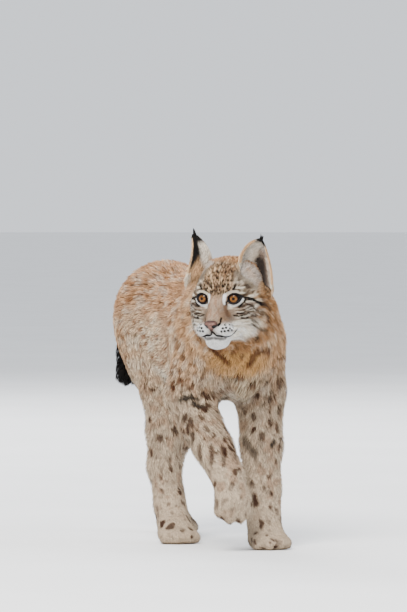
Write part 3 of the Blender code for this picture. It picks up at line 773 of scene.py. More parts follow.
# Where the head's tones lie, in millimetres in its own frame
headRegions = {
    "crown": [("z", 22, 40)],
    "cheek": [("z", 6, -4), ("x", -30, -8)],
    "ruff": [("x", -8, -28), ("z", 16, -6)],
    "brow": [("z", -2, 10), ("x", -46, -20), ("side", 42, 28)],
    "crownDots": [("x", -70, -50), ("z", 24, 40)],
    "temple": [("side", 22, 32), ("x", -38, -14), ("z", -2, 8), ("z", 54, 40)],
    "lined": [("side", 22, 34), ("x", -44, -16), ("z", 34, 24), ("z", -56, -44)],
    "bridge": [("x", 4, 16), ("side", 14, 9), ("z", 12, -2)],
    "muzzle": [("x", 18, 26), ("side", 8, 12), ("z", -14, -20)],
    "chin": [("z", -47, -53), ("x", -16, 2), ("side", 44, 32)],
    "jaw": [("side", 18, 24), ("z", -30, -37), ("x", -4, 12), ("x", 30, 20)],
    "whiteCheek": [("side", 14, 26)],
    "rear": [("x", -8, -26), ("z", 14, -4)],
}
# Round patches there: the middle and the half width along each axis
headPatches = {
    "whiskerPad": {"side": (17, 16), "z": (-43, 9), "x": (33, 22)},
    "whiteCheek": {"x": (1, 15), "z": (-57, 13)},
}


def patch(name, axes):
    far = sum(((axes[axis] - middle) / half) ** 2 for axis, (middle, half) in headPatches[name].items())
    return np.exp(-(far**2))


def headTone(q):
    # q is in millimetres in the head's frame
    x, y, z = q.T
    axes = headAxes(q)
    of = {name: region(limits, **axes) for name, limits in headRegions.items()}
    paint = Paint("tan", len(q))
    paint.lay("crown", of["crown"])
    paint.lay("cheek", of["cheek"])
    paint.lay("ruff", of["ruff"])
    # pale streaks and rows of dark dots fan out over the forehead
    climb = (z - x) * 0.7
    fan = y / (0.8 + 0.008 * np.clip(z, 0, 60))
    flow = columns(climb * 0.40, fan, 2.1)
    streaks = softNoise(flow, 3.6, 3) * 0.7 + softNoise(flow, 1.9, 4) * 0.3
    brow = of["brow"]
    paint.lay("temple", 0.50 * brow)
    paint.lay("streak", 0.80 * brow * ramp(streaks, 0.54, 0.66))
    paint.lay("spot", 0.45 * brow * ramp(streaks, 0.46, 0.36))
    far, number = dabs(columns(climb * 0.66, fan, 2.1), 3.7, 21)
    paint.lay("black", (0.70 + 0.30 * number) * brow * ramp(far, 0.55, 0.43))
    paint.lay("mottle", 0.8 * of["crownDots"] * (1 - brow) * ramp(far, 0.52, 0.40))
    # grey temples and cheeks with fine dark and pale lines
    lines = softNoise(columns(x * 0.16, np.abs(y) * 0.16, z), 2.7, 12)
    paint.lay("temple", 0.85 * of["temple"])
    paint.lay("dark", 0.75 * of["temple"] * ramp(streaks, 0.50, 0.38))
    paint.lay("cream", 0.40 * of["temple"] * ramp(streaks, 0.62, 0.74))
    paint.lay("cream", 0.75 * of["lined"] * ramp(lines, 0.54, 0.68))
    paint.lay("dark", 0.80 * of["lined"] * ramp(lines, 0.44, 0.32))
    # bridge of the nose, muzzle, chin
    paint.lay("bridge", 0.95 * of["bridge"])
    paint.lay("mottle", 0.40 * of["bridge"] * ramp(streaks, 0.50, 0.34))
    paint.lay("muzzle", 0.85 * of["muzzle"])
    paint.lay("white", 1.2 * patch("whiskerPad", axes))
    paint.lay("white", of["chin"])
    paint.lay("cream", 0.7 * of["jaw"])
    whiteCheek = patch("whiteCheek", axes) * of["whiteCheek"]
    paint.lay("cream", whiteCheek)
    paint.lay("white", 0.8 * whiteCheek * ramp(softNoise(q, 6.0, 9), 0.35, 0.65))
    paint.lay("cheek", 0.55 * whiteCheek * ramp(lines, 0.50, 0.62))
    # dark hair among the brown of the ruff
    rear = of["rear"] * (1 - whiteCheek)
    strands = softNoise(columns(x * 0.45, y * 0.6, z * 0.30), 2.4, 14)
    paint.lay("dark", 0.60 * rear * ramp(strands, 0.60, 0.74))
    paint.lay("streak", 0.55 * rear * ramp(strands, 0.42, 0.28))
    return paint.colour


def drawnOn(own, q):
    paint = Paint(own)
    left = columns(q[:, 0], np.abs(q[:, 1]), q[:, 2])
    paint.draw(strokes, left, softNoise(q, 3.0, 31) - 0.5)
    half, soft = whiskerDot["half"], whiskerDot["soft"]
    for dot in whiskerDots:
        paint.lay("black", ramp(np.linalg.norm(left - np.array(dot), axis=1), half + soft, half))
    return paint.colour


# Marks of the body that the photograph shows, in millimetres in the part's own drawing
bodyStrokes = [
    # tone, half width, softness, strength, points
    ("collar", 3.6, 5.0, 0.90, [(222, -70, 325), (232, -62, 318), (238, -51, 308), (238, -39, 297)]),
    ("collar", 3.6, 5.0, 0.85, [(246, -3, 294), (254, 1, 310), (250, 16, 317), (242, 31, 315)]),
    ("collar", 2.6, 4.0, 0.70, [(256, -38, 312), (252, -36, 302)]),
    ("collar", 2.6, 4.0, 0.70, [(256, -20, 308), (252, -22, 298)]),
    ("black", 2.4, 2.6, 0.90, [(182, -98, 238), (192, -87, 243), (200, -74, 240)]),
    ("black", 3.6, 3.0, 0.90, [(200, -80, 232), (206, -75, 228)]),
    ("legSpotAndShade", 3.4, 3.0, 0.90, [(196, -98, 212), (196, -97, 204)]),
    ("legSpotAndShade", 3.2, 3.0, 0.85, [(208, -92, 206), (212, -91, 198)]),
    ("legSpotAndShade", 3.4, 3.0, 0.90, [(204, -96, 193), (204, -96, 185)]),
    ("legSpotAndShade", 3.0, 3.0, 0.85, [(214, -92, 186), (214, -91, 178)]),
    ("legSpotAndShade", 2.6, 3.0, 0.75, [(216, -76, 214), (220, -74, 210)]),
    ("legSpotAndShade", 2.6, 3.0, 0.75, [(230, -73, 198), (232, -71, 192)]),
    # painted shadows: the next four bars across the right forearm are cast shadows of grass and shade between
    # locks of fur
    ("legSpotAndShade", 2.6, 3.5, 0.70, [(232, -86, 167), (228, -84, 145)]),
    ("legSpotAndShade", 2.6, 3.5, 0.70, [(248, -71, 166), (252, -73, 143)]),
    ("legSpotAndShade", 2.6, 3.5, 0.70, [(254, -52, 168), (264, -56, 145)]),
    ("legSpotAndShade", 2.6, 3.5, 0.60, [(236, -24, 166), (260, -34, 149)]),
    ("legSpotAndShade", 3.4, 3.0, 0.85, [(-8, -62, 168), (-6, -63, 162)]),
    ("legSpotAndShade", 2.8, 3.0, 0.70, [(-16, -75, 190), (-12, -74, 184)]),
    ("legSpotAndShade", 3.0, 3.0, 0.80, [(188, 70, 258), (192, 69, 252)]),
    ("legSpotAndShade", 3.4, 3.0, 0.80, [(188, 71, 221), (192, 70, 214)]),
    ("legSpotAndShade", 3.0, 3.0, 0.80, [(198, 64, 195), (200, 62, 189)]),
    ("black", 3.6, 3.0, 0.90, [(206, 53, 170), (210, 50, 164)]),
    ("legSpotAndShade", 2.8, 3.0, 0.80, [(190, 22, 213), (192, 24, 206)]),
    ("legSpotAndShade", 2.8, 3.0, 0.80, [(204, 32, 183), (206, 34, 176)]),
    ("legSpotAndShade", 2.6, 3.0, 0.70, [(194, 50, 241), (196, 48, 235)]),
    # painted shade on the inner side of the left foreleg
    ("dark", 5.0, 6.0, 0.65, [(184, 8, 171), (194, 12, 162), (200, 19, 151)]),
    ("spot", 3.2, 3.0, 0.85, [(232, -22, 274), (234, -14, 272)]),
    ("spot", 3.4, 3.0, 0.85, [(224, 6, 259), (222, 13, 255)]),
    ("spot", 3.4, 3.0, 0.85, [(144, -102, 284), (148, -102, 278)]),
    ("spot", 3.4, 3.0, 0.85, [(174, -98, 270), (178, -96, 264)]),
    ("spot", 3.4, 3.0, 0.85, [(162, -107, 259), (168, -106, 253)]),
]
# Where the body's tones lie there; ahead and up say which way the skin faces, legs is their share
bodyRegions = {
    "back": [("up", -0.1, 0.55), ("z", 300, 380)],
    "rump": [("x", -57, -177)],
    "belly": [("up", -0.25, -0.75), ("z", 320, 250)],
    "shoulder": [("x", 84, 154), ("z", 220, 300)],
    "leg": [("z", 330, 170), ("legs", 0.1, 0.9)],
    "clouds": [("z", 180, 320)],
    "rearDabs": [("x", 154, 84), ("z", 220, 320)],
    "frontDabs": [("x", 84, 154), ("z", 180, 280)],
    "legClouds": [("z", 320, 200), ("z", 20, 90)],
    "legSpots": [("z", 340, 240)],
    "tailTip": [("tail", 0.3, 0.7), ("z", 334, 320)],
    "chest": [("ahead", 0.1, 0.6), ("x", 154, 204), ("z", 290, 262), ("legs", 1.0, 0.6)],
    "belowChin": [("z", 317, 311)],
    "head": [("head", 0.25, 0.75)],
}
bibMark = {"at": (242, -22, 297), "size": (60, 54, 26)}


def coatTone(at, outward, share, q):
    # the coat's colour at points of the outer surface; at is in millimetres in the part's drawing
    parts = {node: share[:, n] for n, node in enumerate(skinMake["flesh"])}
    legs = parts["foreleg_l"] + parts["foreleg_r"] + parts["hindleg_l"] + parts["hindleg_r"]
    x, y, z = at.T
    axes = {"x": x, "z": z, "ahead": outward[:, 0], "up": outward[:, 2],
            "legs": legs, "tail": parts["tail"], "head": parts["head"]}
    of = {name: region(limits, **axes) for name, limits in bodyRegions.items()}
    paint = Paint("flank", len(at))
    paint.lay("back", of["back"] + 0.55 * of["rump"])
    paint.lay("belly", of["belly"])
    paint.lay("shoulder", 0.85 * of["shoulder"])
    paint.lay("leg", of["leg"])
    # long soft dabs on the back and rump, browner ones forward and below
    flow = columns(x * 0.55, y, z * 0.85)
    cloud = softNoise(flow, 15, 51) * 0.5 + softNoise(flow, 7, 52) * 0.5
    paint.lay("mottle", 0.42 * of["clouds"] * ramp(cloud, 0.50, 0.66))
    paint.lay("belly", 0.35 * of["clouds"] * ramp(cloud, 0.47, 0.33))
    warp = columns(*(softNoise(at, 14, 55 + n) - 0.5 for n in range(3)))
    far, number = dabs(flow + warp * 7, 12.5, 61)
    dab = ramp(0.33 + 0.16 * number - far, 0.0, 0.18) * (number > 0.20)
    paint.lay("mottle", 0.80 * dab * of["rearDabs"])
    paint.lay("spot", (0.42 + 0.5 * number) * dab * of["frontDabs"])
    # the legs: soft clouds and round spots
    far, number = dabs(columns(x, y, z * 0.72) + warp * 13, 13, 71)
    spot = ramp(0.22 + 0.36 * number - far, 0.0, 0.18) * (number > 0.18)
    spot *= (0.60 + 0.40 * number) * (0.45 + 0.55 * ramp(cloud, 0.40, 0.56))
    paint.lay("mottle", 0.40 * legs * of["legClouds"] * ramp(cloud, 0.50, 0.64))
    paint.lay("legSpotAndShade", spot * legs * of["legSpots"])
    paint.lay("black", of["tailTip"])
    grain = softNoise(columns(x, y, z * 0.2), 5, 57)
    paint.lay("chest", 0.9 * of["chest"])
    paint.lay("mottle", 0.5 * of["chest"] * ramp(grain, 0.55, 0.75))
    # the head, and the bib below it
    isHead = of["head"][:, None]
    paint.colour = paint.colour * (1 - isHead) + headTone(q) * isHead
    bib = np.linalg.norm((at - np.array(bibMark["at"])) / np.array(bibMark["size"]), axis=1)
    paint.lay("bib", 0.92 * ramp(bib, 1.25, 0.70) * (0.5 + 0.5 * grain) * of["belowChin"])
    paint.draw(bodyStrokes, at, 5 * (cloud - 0.5))
    return paint.colour


def markings(at, outward, share):
    q = placedBy(toHead, at) * 1000.0
    own = coatTone((at - np.array(bodyShift)) * 1000.0, outward, share, q)
    near = share[:, skinMake["flesh"].index("head")] > 0.05
    own[near] = drawnOn(own[near], q[near])
    return own


def paintPoints(mesh, colours):
    layer = mesh.color_attributes.new(name="tint", type="FLOAT_COLOR", domain="POINT")
    full = np.ones((len(colours), 4), np.float32)
    full[:, :3] = colours
    layer.data.foreach_set("color", full.ravel())


uvPatch = {"half": 0.0015, "margin": 0.001}  # each tuft's own patch of the unwrapped skin


def coatMesh(name, stations, colours, places):
    # stations: per tuft, rings of three points and last the tip, as (tufts, 3 * rings + 1, 3)
    tufts, size, _ = stations.shape
    faces = [(0, 2, 1)]
    for low in range(0, size - 4, 3):
        for n in range(3):
            m = (n + 1) % 3
            faces.append((low + n, low + m, low + 3 + m, low + 3 + n))
    for n in range(3):
        faces.append((size - 4 + n, size - 4 + (n + 1) % 3, size - 1))
    corners = np.array([corner for face in faces for corner in face], np.int32)
    sizes = np.tile(np.array([len(face) for face in faces], np.int32), tufts)
    loops = (np.arange(tufts, dtype=np.int32)[:, None] * size + corners[None, :]).ravel()
    mesh = bpy.data.meshes.new(name)
    mesh.vertices.add(tufts * size)
    mesh.vertices.foreach_set("co", stations.astype(np.float32).ravel())
    mesh.loops.add(len(loops))
    mesh.loops.foreach_set("vertex_index", loops)
    mesh.polygons.add(len(sizes))
    mesh.polygons.foreach_set("loop_start", np.concatenate([[0], np.cumsum(sizes)[:-1]]).astype(np.int32))
    mesh.polygons.foreach_set("loop_total", sizes)
    mesh.update(calc_edges=True)
    mesh.shade_smooth()
    paintPoints(mesh, colours.reshape(-1, 3))
    spots = places[:, None, :] + uvPatch["half"] * np.array([(-1, -1), (1, -1), (0, 1)])[corners % 3]
    spots = np.clip(spots, uvPatch["margin"], 1.0 - uvPatch["margin"])
    layer = mesh.uv_layers.new(name="OFBake")
    layer.data.foreach_set("uv", spots.astype(np.float32).ravel())
    return newObject(name, mesh)


def clumped(roots, tips, every, pull, draw):
    # moves that lean each tip towards the tip of a nearby leading tuft, so that the coat falls into locks
    leads = draw.choice(len(roots), max(1, len(roots) // every), replace=False)
    tree = KDTree(len(leads))
    for n, lead in enumerate(leads):
        tree.insert(roots[lead], n)
    tree.balance()
    lead = np.array([leads[tree.find(root)[1]] for root in roots])
    offset = tips[lead] - tips
    far = np.linalg.norm(offset, axis=1, keepdims=True)
    length = np.linalg.norm(tips - roots, axis=1, keepdims=True)
    return offset * pull * np.clip(1.4 - far / np.maximum(length, 1e-6), 0.0, 1.0)


tuftShape = {
    "sunk": 0.0006,
    "ridge": 0.30,
    "leastFlat": 0.2,
    # the ring of a bent tuft: where along it, how much of its rise and of its pull, how wide
    "bend": (0.46, 0.74, 0.35, 0.82),
    "uneven": 0.24,
    "shades": (0.55, 1.5),
    "darkTip": 0.30,
    "overFloor": 0.0003,
}


def growTufts(name, facts, draw):
    # facts: root, lie, out, length, rise, width, tint, place, long, clump, pull, swing, rootShade,
    # tipShade, and where wanted stray and darkTips
    shape = tuftShape
    root, lie, out = facts["root"], facts["lie"], facts["out"]
    count = len(root)
    length, rise, width = (np.asarray(facts[key])[:, None] for key in ("length", "rise", "width"))
    swing = draw.normal(0.0, facts["swing"], (count, 1))
    lie = unit(lie + np.cross(lie, out) * swing + facts.get("stray", 0.0))
    across = np.cross(lie, out)
    flat = np.sqrt(np.maximum(length**2 - rise**2, (shape["leastFlat"] * length) ** 2))
    tip = root + lie * flat + out * rise
    move = clumped(root, tip, facts["clump"], facts["pull"], draw)
    tint = facts["tint"] * np.clip(draw.normal(1.0, shape["uneven"], (count, 1)), *shape["shades"])
    dark = draw.random((count, 1)) < facts.get("darkTips", 0.0)

    def ring(middle, size):
        side = across * width * size / 2
        return [middle - side, middle + side, middle + out * width * size * shape["ridge"]]

    parts = ring(root - out * shape["sunk"], 1.0)
    # painted shade: the root ring, and less so the middle ring, is darker, partly the hair's own darker base
    colours = [tint * facts["rootShade"]] * 3
    if facts["long"]:
        along, risen, pulled, wide = shape["bend"]
        parts += ring(root + lie * flat * along + out * rise * risen + move * pulled, wide)
        colours += [tint * (0.45 + 0.55 * facts["rootShade"])] * 3
    stations = np.stack(parts + [tip + move], axis=1)
    stations[..., 2] = np.maximum(stations[..., 2], shape["overFloor"])
    # painted light: the tip is lighter by tipShade, partly the hair's own pale tip; dark tips are the hair's
    # own bands
    colours.append(tint * np.where(dark, shape["darkTip"], facts["tipShade"]))
    return coatMesh(name, stations, np.clip(np.stack(colours, axis=1), 0.0, 1.0), facts["place"])


class Sampler:
    # draws roots on the skin, more where weight is higher
    def __init__(self, surface, places):
        self.surface = surface
        self.places = places
        self.area = surface.areas()

    def draw(self, weight, count, rng):
        s = self.surface
        perFace = weight[s.triangles].mean(axis=1) * self.area
        total = np.cumsum(perFace)
        picks = np.searchsorted(total, rng.random(count) * total[-1])
        picks = np.minimum(picks, len(total) - 1)
        a, b = rng.random(count), rng.random(count)
        over = a + b > 1
        a[over], b[over] = 1 - a[over], 1 - b[over]
        self.corners = s.triangles[picks]
        self.parts = np.stack([1 - a - b, a, b], axis=1)
        self.place = (self.places[picks] * self.parts[:, :, None]).sum(axis=1)
        return self

    def of(self, values):
        picked = values[self.corners]
        parts = self.parts if picked.ndim == 2 else self.parts[:, :, None]
        return (picked * parts).sum(axis=1)


coatLength = {
    "neck": 0.020, "torso": 0.0175, "tail": 0.016,
    "foreleg_l": 0.0125, "foreleg_r": 0.0125, "hindleg_l": 0.0130, "hindleg_r": 0.0130,
    "paw": 0.0055,
    # on the head by the distance from the nose, and how much longer or shorter than that in places
    "headReach": (0.0, 0.020, 0.040, 0.060, 0.085, 0.110, 0.140),
    "headLength": (0.0020, 0.0026, 0.0038, 0.0058, 0.0110, 0.0170, 0.0200),
    "ruffMore": 0.012,
    "ruff": [("z", -0.010, -0.045), ("side", 0.034, 0.050), ("reach", 0.07, 0.09)],
    "browCut": 0.42,
    "brow": [("z", -0.012, 0.002), ("x", -0.045, -0.020)],
    "earCut": 0.50,
    "nearEar": (0.042, 0.024),
    "eyeCut": 0.55,
    "nearEye": (0.012, 0.0),
    # between the hind legs, where the coat of the belly meets that of the rump
    "thighCut": 0.25,
    "thighs": [("up", 0.0, -0.5), ("rear", 0.09, 0.14)],
}


def lengthOnSkin(surface):
    facts = coatLength
    axes = {"up": surface.outerNormal[:, 2], "rear": -surface.outer[:, 0],
            "reach": surface.reach, **headAxes(surface.head)}
    onHead = np.interp(surface.reach, facts["headReach"], facts["headLength"])
    onHead += facts["ruffMore"] * region(facts["ruff"], **axes)
    onHead *= 1.0 - facts["browCut"] * region(facts["brow"], **axes)
    length = 0.0
    for n, node in enumerate(skinMake["flesh"]):
        length = length + surface.share[:, n] * (onHead if node == "head" else facts[node])
    for ear in earMake.values():
        far = np.linalg.norm(surface.head - np.array(ear["root"]), axis=1)
        length *= 1.0 - facts["earCut"] * ramp(far, *facts["nearEar"])
    length *= surface.lowCut
    length += (facts["paw"] - length) * surface.paw
    length *= 1.0 - facts["eyeCut"] * ramp(surface.nearEye, *facts["nearEye"])
    return length * (1.0 - facts["thighCut"] * region(facts["thighs"], **axes))


# per kind of tuft: whether bent, its width as a share of its length with least and most, how many
# go into one lock and how far, where along it the colour is read, the swirl, root shade (painted shade deep
# in the coat, partly the hair's own darker base), dark tips
coatKinds = {
    "face": {"long": False, "wide": 0.17, "widths": (0.0005, 0.0009), "clump": 6, "pull": 0.30,
             "read": 0.38, "swirl": 0.35, "rootShade": 0.66, "darkTips": 0.03},
    "head": {"long": True, "wide": 0.075, "widths": (0.0006, 0.0012), "clump": 9, "pull": 0.45,
             "read": 0.50, "swirl": 0.7, "rootShade": 0.45, "darkTips": 0.12},
    "trunk": {"long": True, "wide": 0.085, "widths": (0.0008, 0.0016), "clump": 11, "pull": 0.50,
              "read": 0.55, "swirl": 1.0, "rootShade": 0.42, "darkTips": 0.14},
    "leg": {"long": False, "wide": 0.12, "widths": (0.0007, 0.0014), "clump": 9, "pull": 0.40,
            "read": 0.50, "swirl": 1.0, "rootShade": 0.50, "darkTips": 0.10},
}
coatPieces = {
    "coatFace": (45000, "face"),
    "coatBrow": (40000, "face"),
    "coatHead": (16000, "head"),
    "coatNeck": (16000, "trunk"),
    "coatTrunkA": (17000, "trunk"),
    "coatTrunkB": (16000, "trunk"),
    "coatTrunkC": (16000, "trunk"),
    "coatForelegs": (30000, "leg"),
    "coatHindlegs": (28000, "leg"),
    "coatTail": (3600, "trunk"),
}
coatGrowth = {
    "length": (0.72, 1.18),  # shares of the length at that place
    "rise": (0.70, 1.12),  # shares of the coat's depth there
    "steepest": 0.75,
    "swing": 0.14,
    # tipShade lightens the tips: painted light, partly the hair's own pale tips
    "tipShade": 1.22,
    "swirls": ((0.030, 0.55, 81), (0.009, 0.50, 91)),  # size, strength, seed
}
# Where the coat's pieces begin and end: x and z of the body, x of the head's frame, and the distances
# from the nose and from the mouth's line
coatRegions = {
    "front": [("reach", 0.070, 0.056)],
    "brow": [("headX", -0.040, -0.024)],
    "nearNose": [("reach", 0.06, 0.03)],
    "hairy": [("mouth", 0.0026, 0.0040)],
    "low": [("z", 0.25, 0.20)],
    "trunkA": [("x", 0.030, 0.040)],
    "trunkB": [("x", 0.045, 0.035), ("x", -0.135, -0.125)],
    "trunkC": [("x", -0.120, -0.130)],
    "legs": [("z", 0.27, 0.24)],
}
bareByNose = 0.0014


def coatWeights(surface):
    parts = {node: surface.share[:, n] for n, node in enumerate(skinMake["flesh"])}
    axes = {"x": surface.outer[:, 0], "z": surface.outer[:, 2], "headX": surface.head[:, 0],
            "reach": surface.reach, "mouth": surface.mouth}
    of = {name: region(limits, **axes) for name, limits in coatRegions.items()}
    hairy = (1.0 - surface.bare) * of["hairy"]
    tree, _ = treeOf(("nose",))
    for n in np.nonzero(surface.reach < 0.03)[0]:
        if tree.find_nearest(Vector(surface.outer[n]))[3] <= bareByNose:
            hairy[n] = 0.0
    front, brow = of["front"], (1.0 - of["front"]) * of["brow"]
    fore, hind = parts["foreleg_l"] + parts["foreleg_r"], parts["hindleg_l"] + parts["hindleg_r"]
    trunk = parts["torso"] + (fore + hind) * (1.0 - 0.9 * of["low"])
    return {
        "coatFace": parts["head"] * front * hairy * (1.0 + of["nearNose"]),
        "coatBrow": parts["head"] * brow * hairy,
        "coatHead": parts["head"] * (1.0 - front) * (1.0 - 0.85 * brow) * hairy,
        "coatNeck": parts["neck"],
        "coatTrunkA": trunk * of["trunkA"],
        "coatTrunkB": trunk * of["trunkB"],
        "coatTrunkC": trunk * of["trunkC"],
        "coatForelegs": fore * of["legs"] * (1.0 + surface.paw),
        "coatHindlegs": hind * of["legs"] * (1.0 + surface.paw),
        "coatTail": parts["tail"],
    }


def swirlAt(at):
    # turns the hair a little, in broad whorls and in small ones
    turns = []
    for n in range(3):
        turns.append(sum(softNoise(at, size, seed + n) * much for size, much, seed in coatGrowth["swirls"]))
    return columns(*turns) - sum(much for _, much, _ in coatGrowth["swirls"]) / 2


def growCoat(surface, places, material):
    sampler = Sampler(surface, places)
    weights = coatWeights(surface)
    length = lengthOnSkin(surface)
    for number, (name, (count, kindName)) in enumerate(coatPieces.items()):
        kind = coatKinds[kindName]
        rng = np.random.default_rng(100 + number)
        count = count
        s = sampler.draw(weights[name], count, rng)
        out = unit(s.of(surface.outerNormal))
        lie = s.of(surface.lie)
        lie = unit(lie - out * (lie * out).sum(1, keepdims=True))
        long = s.of(length) * rng.uniform(*coatGrowth["length"], count)
        rise = s.of(surface.depth) * rng.uniform(*coatGrowth["rise"], count)
        outer = s.of(surface.outer)
        swirl = swirlAt(outer) * kind["swirl"]
        obj = growTufts(name, {
            "root": s.of(surface.points), "lie": lie, "out": out, "length": long,
            "rise": np.minimum(rise, coatGrowth["steepest"] * long),
            "width": np.clip(long * kind["wide"], *kind["widths"]) * 1.0,
            "tint": markings(outer + lie * (long * kind["read"])[:, None], out, s.of(surface.share)),
            "stray": swirl - out * (swirl * out).sum(1, keepdims=True),
            "place": s.place, "swing": coatGrowth["swing"], "tipShade": coatGrowth["tipShade"], **kind,
        }, rng)
        finishPiece(obj, material)
        print("coat:", name, count, "tufts")


def finishPiece(obj, material, replaces=()):
    obj.data.materials.clear()
    obj.data.materials.append(material)
    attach(obj, "root")
    if replaces:
        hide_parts(*replaces)
    return obj


def coatMaterial(name, deep=1.0, bump=0.0):
    made, where, shader = newMaterial(name, Roughness=0.8, Specular_IOR_Level=0.12)
    tint = where.node("Attribute", {"attribute_name": "tint"})
    level = where.noise(420.0, 2.0) * 0.40 + where.noise(60.0, 2.0) * 0.36 + 0.62
    # deep darkens the colours: on the skin below the coat this is painted shade
    feed(tint.lit(level * deep), shader, "Base Color")
    if bump:
        feed(where.noise(900.0, 3.0).bump(bump, 0.0008), shader, "Normal")
    return made


def plainMaterial(name, colour, roughness, vary=0.3, gloss=0.5):
    made, where, shader = newMaterial(name, Roughness=roughness, Specular_IOR_Level=gloss)
    grain = where.noise(900.0, 3.0)
    stops = [(0.35, np.clip(colour * (1 - vary), 0, 1)), (0.65, np.clip(colour * (1 + vary), 0, 1))]
    feed(grain.coloured(stops), shader, "Base Color")
    feed(grain.bump(0.3, 0.0004), shader, "Normal")
    return made


nosePad = {
    "nostril": (0.0068, -0.0374),
    "nostrilSize": (0.0034, 0.0046),
    "nostrilFlat": 1.35,
    "edge": (0.0058, 0.0102),
    "top": (-0.0325, -0.0290),
    "bottom": (0.0388, 0.0428),
    "pad": [(0.35, linear(80, 56, 50)), (0.70, linear(124, 92, 82))],
    "rim": (*linear(46, 28, 24), 1.0),
    "nostrilShade": (*linear(10, 7, 7), 1.0),
}


def noseMaterial():
    made, where, shader = newMaterial("nosePad", Roughness=0.40, Specular_IOR_Level=0.15)
    facts = nosePad
    local = where.within(headFrame)
    high, wide = local.along("Z"), local.along("Y")
    wide = wide.math("ABSOLUTE", wide)
    across = wide - facts["nostril"][0]
    above = (high - facts["nostril"][1]) * facts["nostrilFlat"]
    # painted shade: the nostrils are near-black patches on the pad, not openings
    nostrilShade = 1.0 - wide.math("SQRT", across * across + above * above).smoothStep(*facts["nostrilSize"])
    edge = wide.math("MAXIMUM", wide.smoothStep(*facts["edge"]), high.smoothStep(*facts["top"]))
    edge = wide.math("MAXIMUM", edge, (high * -1.0).smoothStep(*facts["bottom"]))
    pad = local.noise(420.0, 3.0).coloured(facts["pad"])
    feed(pad.mixed(facts["rim"], edge * 0.90).mixed(facts["nostrilShade"], nostrilShade), shader, "Base Color")
    beads = where.node("TexVoronoi", {}, {"Vector": local, "Scale": 1500.0})
    feed(beads.bump(0.5, 0.0004), shader, "Normal")
    return made


def buildNose():
    # the pad of the solids with a rounder surface
    obj = meshObject("nosePad", mergedCopy("nose"))
    rounder = obj.modifiers.new("rounder", "SUBSURF")
    rounder.levels = 2
    rounder.render_levels = 2
    applied(obj)
    obj.data.shade_smooth()
    finishPiece(obj, noseMaterial(), ("nose",))


eyeMake = {
    "turn": (9.5, -1.5),  # degrees outwards and up
    "cornea": 38.0,
    "swell": 0.0009,
    "iris": [
        # where from the pupil's middle, in centimetres
        (0.00, linear(8, 6, 5)), (0.160, linear(8, 6, 5)), (0.20, linear(58, 30, 14)),
        (0.32, linear(122, 80, 38)), (0.50, linear(112, 74, 38)), (0.60, linear(66, 38, 20)),
        (0.66, linear(8, 6, 5)), (0.86, linear(6, 5, 5)),
    ],
    "lidShade": (-0.0005, 0.0060, 0.70),
}


def gazeFrame(side):
    yaw, pitch = eyeMake["turn"]
    return Matrix.Translation(eyeAt[side]) @ headTurn @ turned(side * yaw, pitch)


def eyeMaterial(side):
    made, where, shader = newMaterial(f"eye{side}", Roughness=0.07, IOR=1.38, Specular_IOR_Level=0.18)
    local = where.within(gazeFrame(side))
    flat = where.node("VectorMath", {"operation": "MULTIPLY"}, {0: local, 1: (0.0, 1.0, 1.0)})
    far = where.node("VectorMath", {"operation": "LENGTH"}, {0: flat}, out="Value")
    rays = where.node("VectorMath", {"operation": "NORMALIZE"}, {0: flat})
    threads = rays.noise(14.0, 4.0, Roughness=0.7) - 0.5
    blotch = where.noise(700.0, 2.0) - 0.5
    iris = (far * 100.0 + threads * 0.06).coloured(eyeMake["iris"])
    # the upper lid shades the eye
    low, high, much = eyeMake["lidShade"]
    shade = 1.0 - local.along("Z").smoothStep(low, high) * much
    feed(iris.lit((threads * 3.2 + blotch * 2.2 + 0.80) * shade), shader, "Base Color")
    return made


def buildEyes():
    edge = math.cos(math.radians(eyeMake["cornea"]))
    for side, name in ((1, "l"), (-1, "r")):
        made = bmesh.new()
        turn = gazeFrame(side) @ Matrix.Rotation(math.radians(90), 4, "Y")
        size = lidMake["eyeRadius"]
        bmesh.ops.create_uvsphere(made, u_segments=64, v_segments=40, radius=size, matrix=turn)
        sight = gazeFrame(side).to_3x3() @ Vector((1.0, 0.0, 0.0))
        for vert in made.verts:
            away = (vert.co - eyeAt[side]).normalized()
            vert.co += away * eyeMake["swell"] * max(0.0, (away.dot(sight) - edge) / (1 - edge))
        obj = meshObject("eyeball_" + name, made)
        obj.data.shade_smooth()
        finishPiece(obj, eyeMaterial(side), ("eye_" + name,))


def tube(points, radii, closed, resolution):
    # a tapering tube along points, as a mesh
    curve = bpy.data.curves.new("tube", "CURVE")
    curve.dimensions = "3D"
    curve.bevel_depth = 1.0
    curve.bevel_resolution = resolution
    curve.use_fill_caps = not closed
    line = curve.splines.new("POLY")
    line.points.add(len(points) - 1)
    for point, at, radius in zip(line.points, points, radii):
        point.co = (*at, 1.0)
        point.radius = radius
    line.use_cyclic_u = closed
    holder = newObject("tube", curve)
    graph = bpy.context.evaluated_depsgraph_get()
    mesh = bpy.data.meshes.new_from_object(holder.evaluated_get(graph))
    bpy.data.objects.remove(holder)
    return mesh


def joinedTubes(name, many):
    made = bmesh.new()
    for points, radii, closed, resolution in many:
        mesh = tube(points, radii, closed, resolution)
        made.from_mesh(mesh)
        bpy.data.meshes.remove(mesh)
    bmesh.ops.remove_doubles(made, verts=made.verts, dist=1e-6)
    bmesh.ops.recalc_face_normals(made, faces=made.faces)
    obj = meshObject(name, made)
    obj.data.shade_smooth()
    return obj


lidRim = {
    "sides": 72,
    "lift": 0.0006,
    "top": 0.0013,
    # added below, and towards the inner and the outer corner
    "bottom": 0.0004,
    "inner": 0.0010,
    "outer": 0.0006,
    # where the dark skin runs on past the corners, in the head's frame, on the left side, and how thick
    "corners": (
        ("inner", (0.0160, 0.0157, -0.0068), 0.0018),
        ("outer", (0.0010, 0.0420, 0.0018), 0.0015),
    ),
    "steps": 9,
    "taper": 0.75,
}


def laidOn(tree, start, end, count, lift=0.0002):
    # points of a straight line, laid on the skin
    made = []
    for n in range(count):
        near, out, _, _ = tree.find_nearest(start.lerp(end, n / (count - 1)))
        made.append(near + out * lift)
    return made


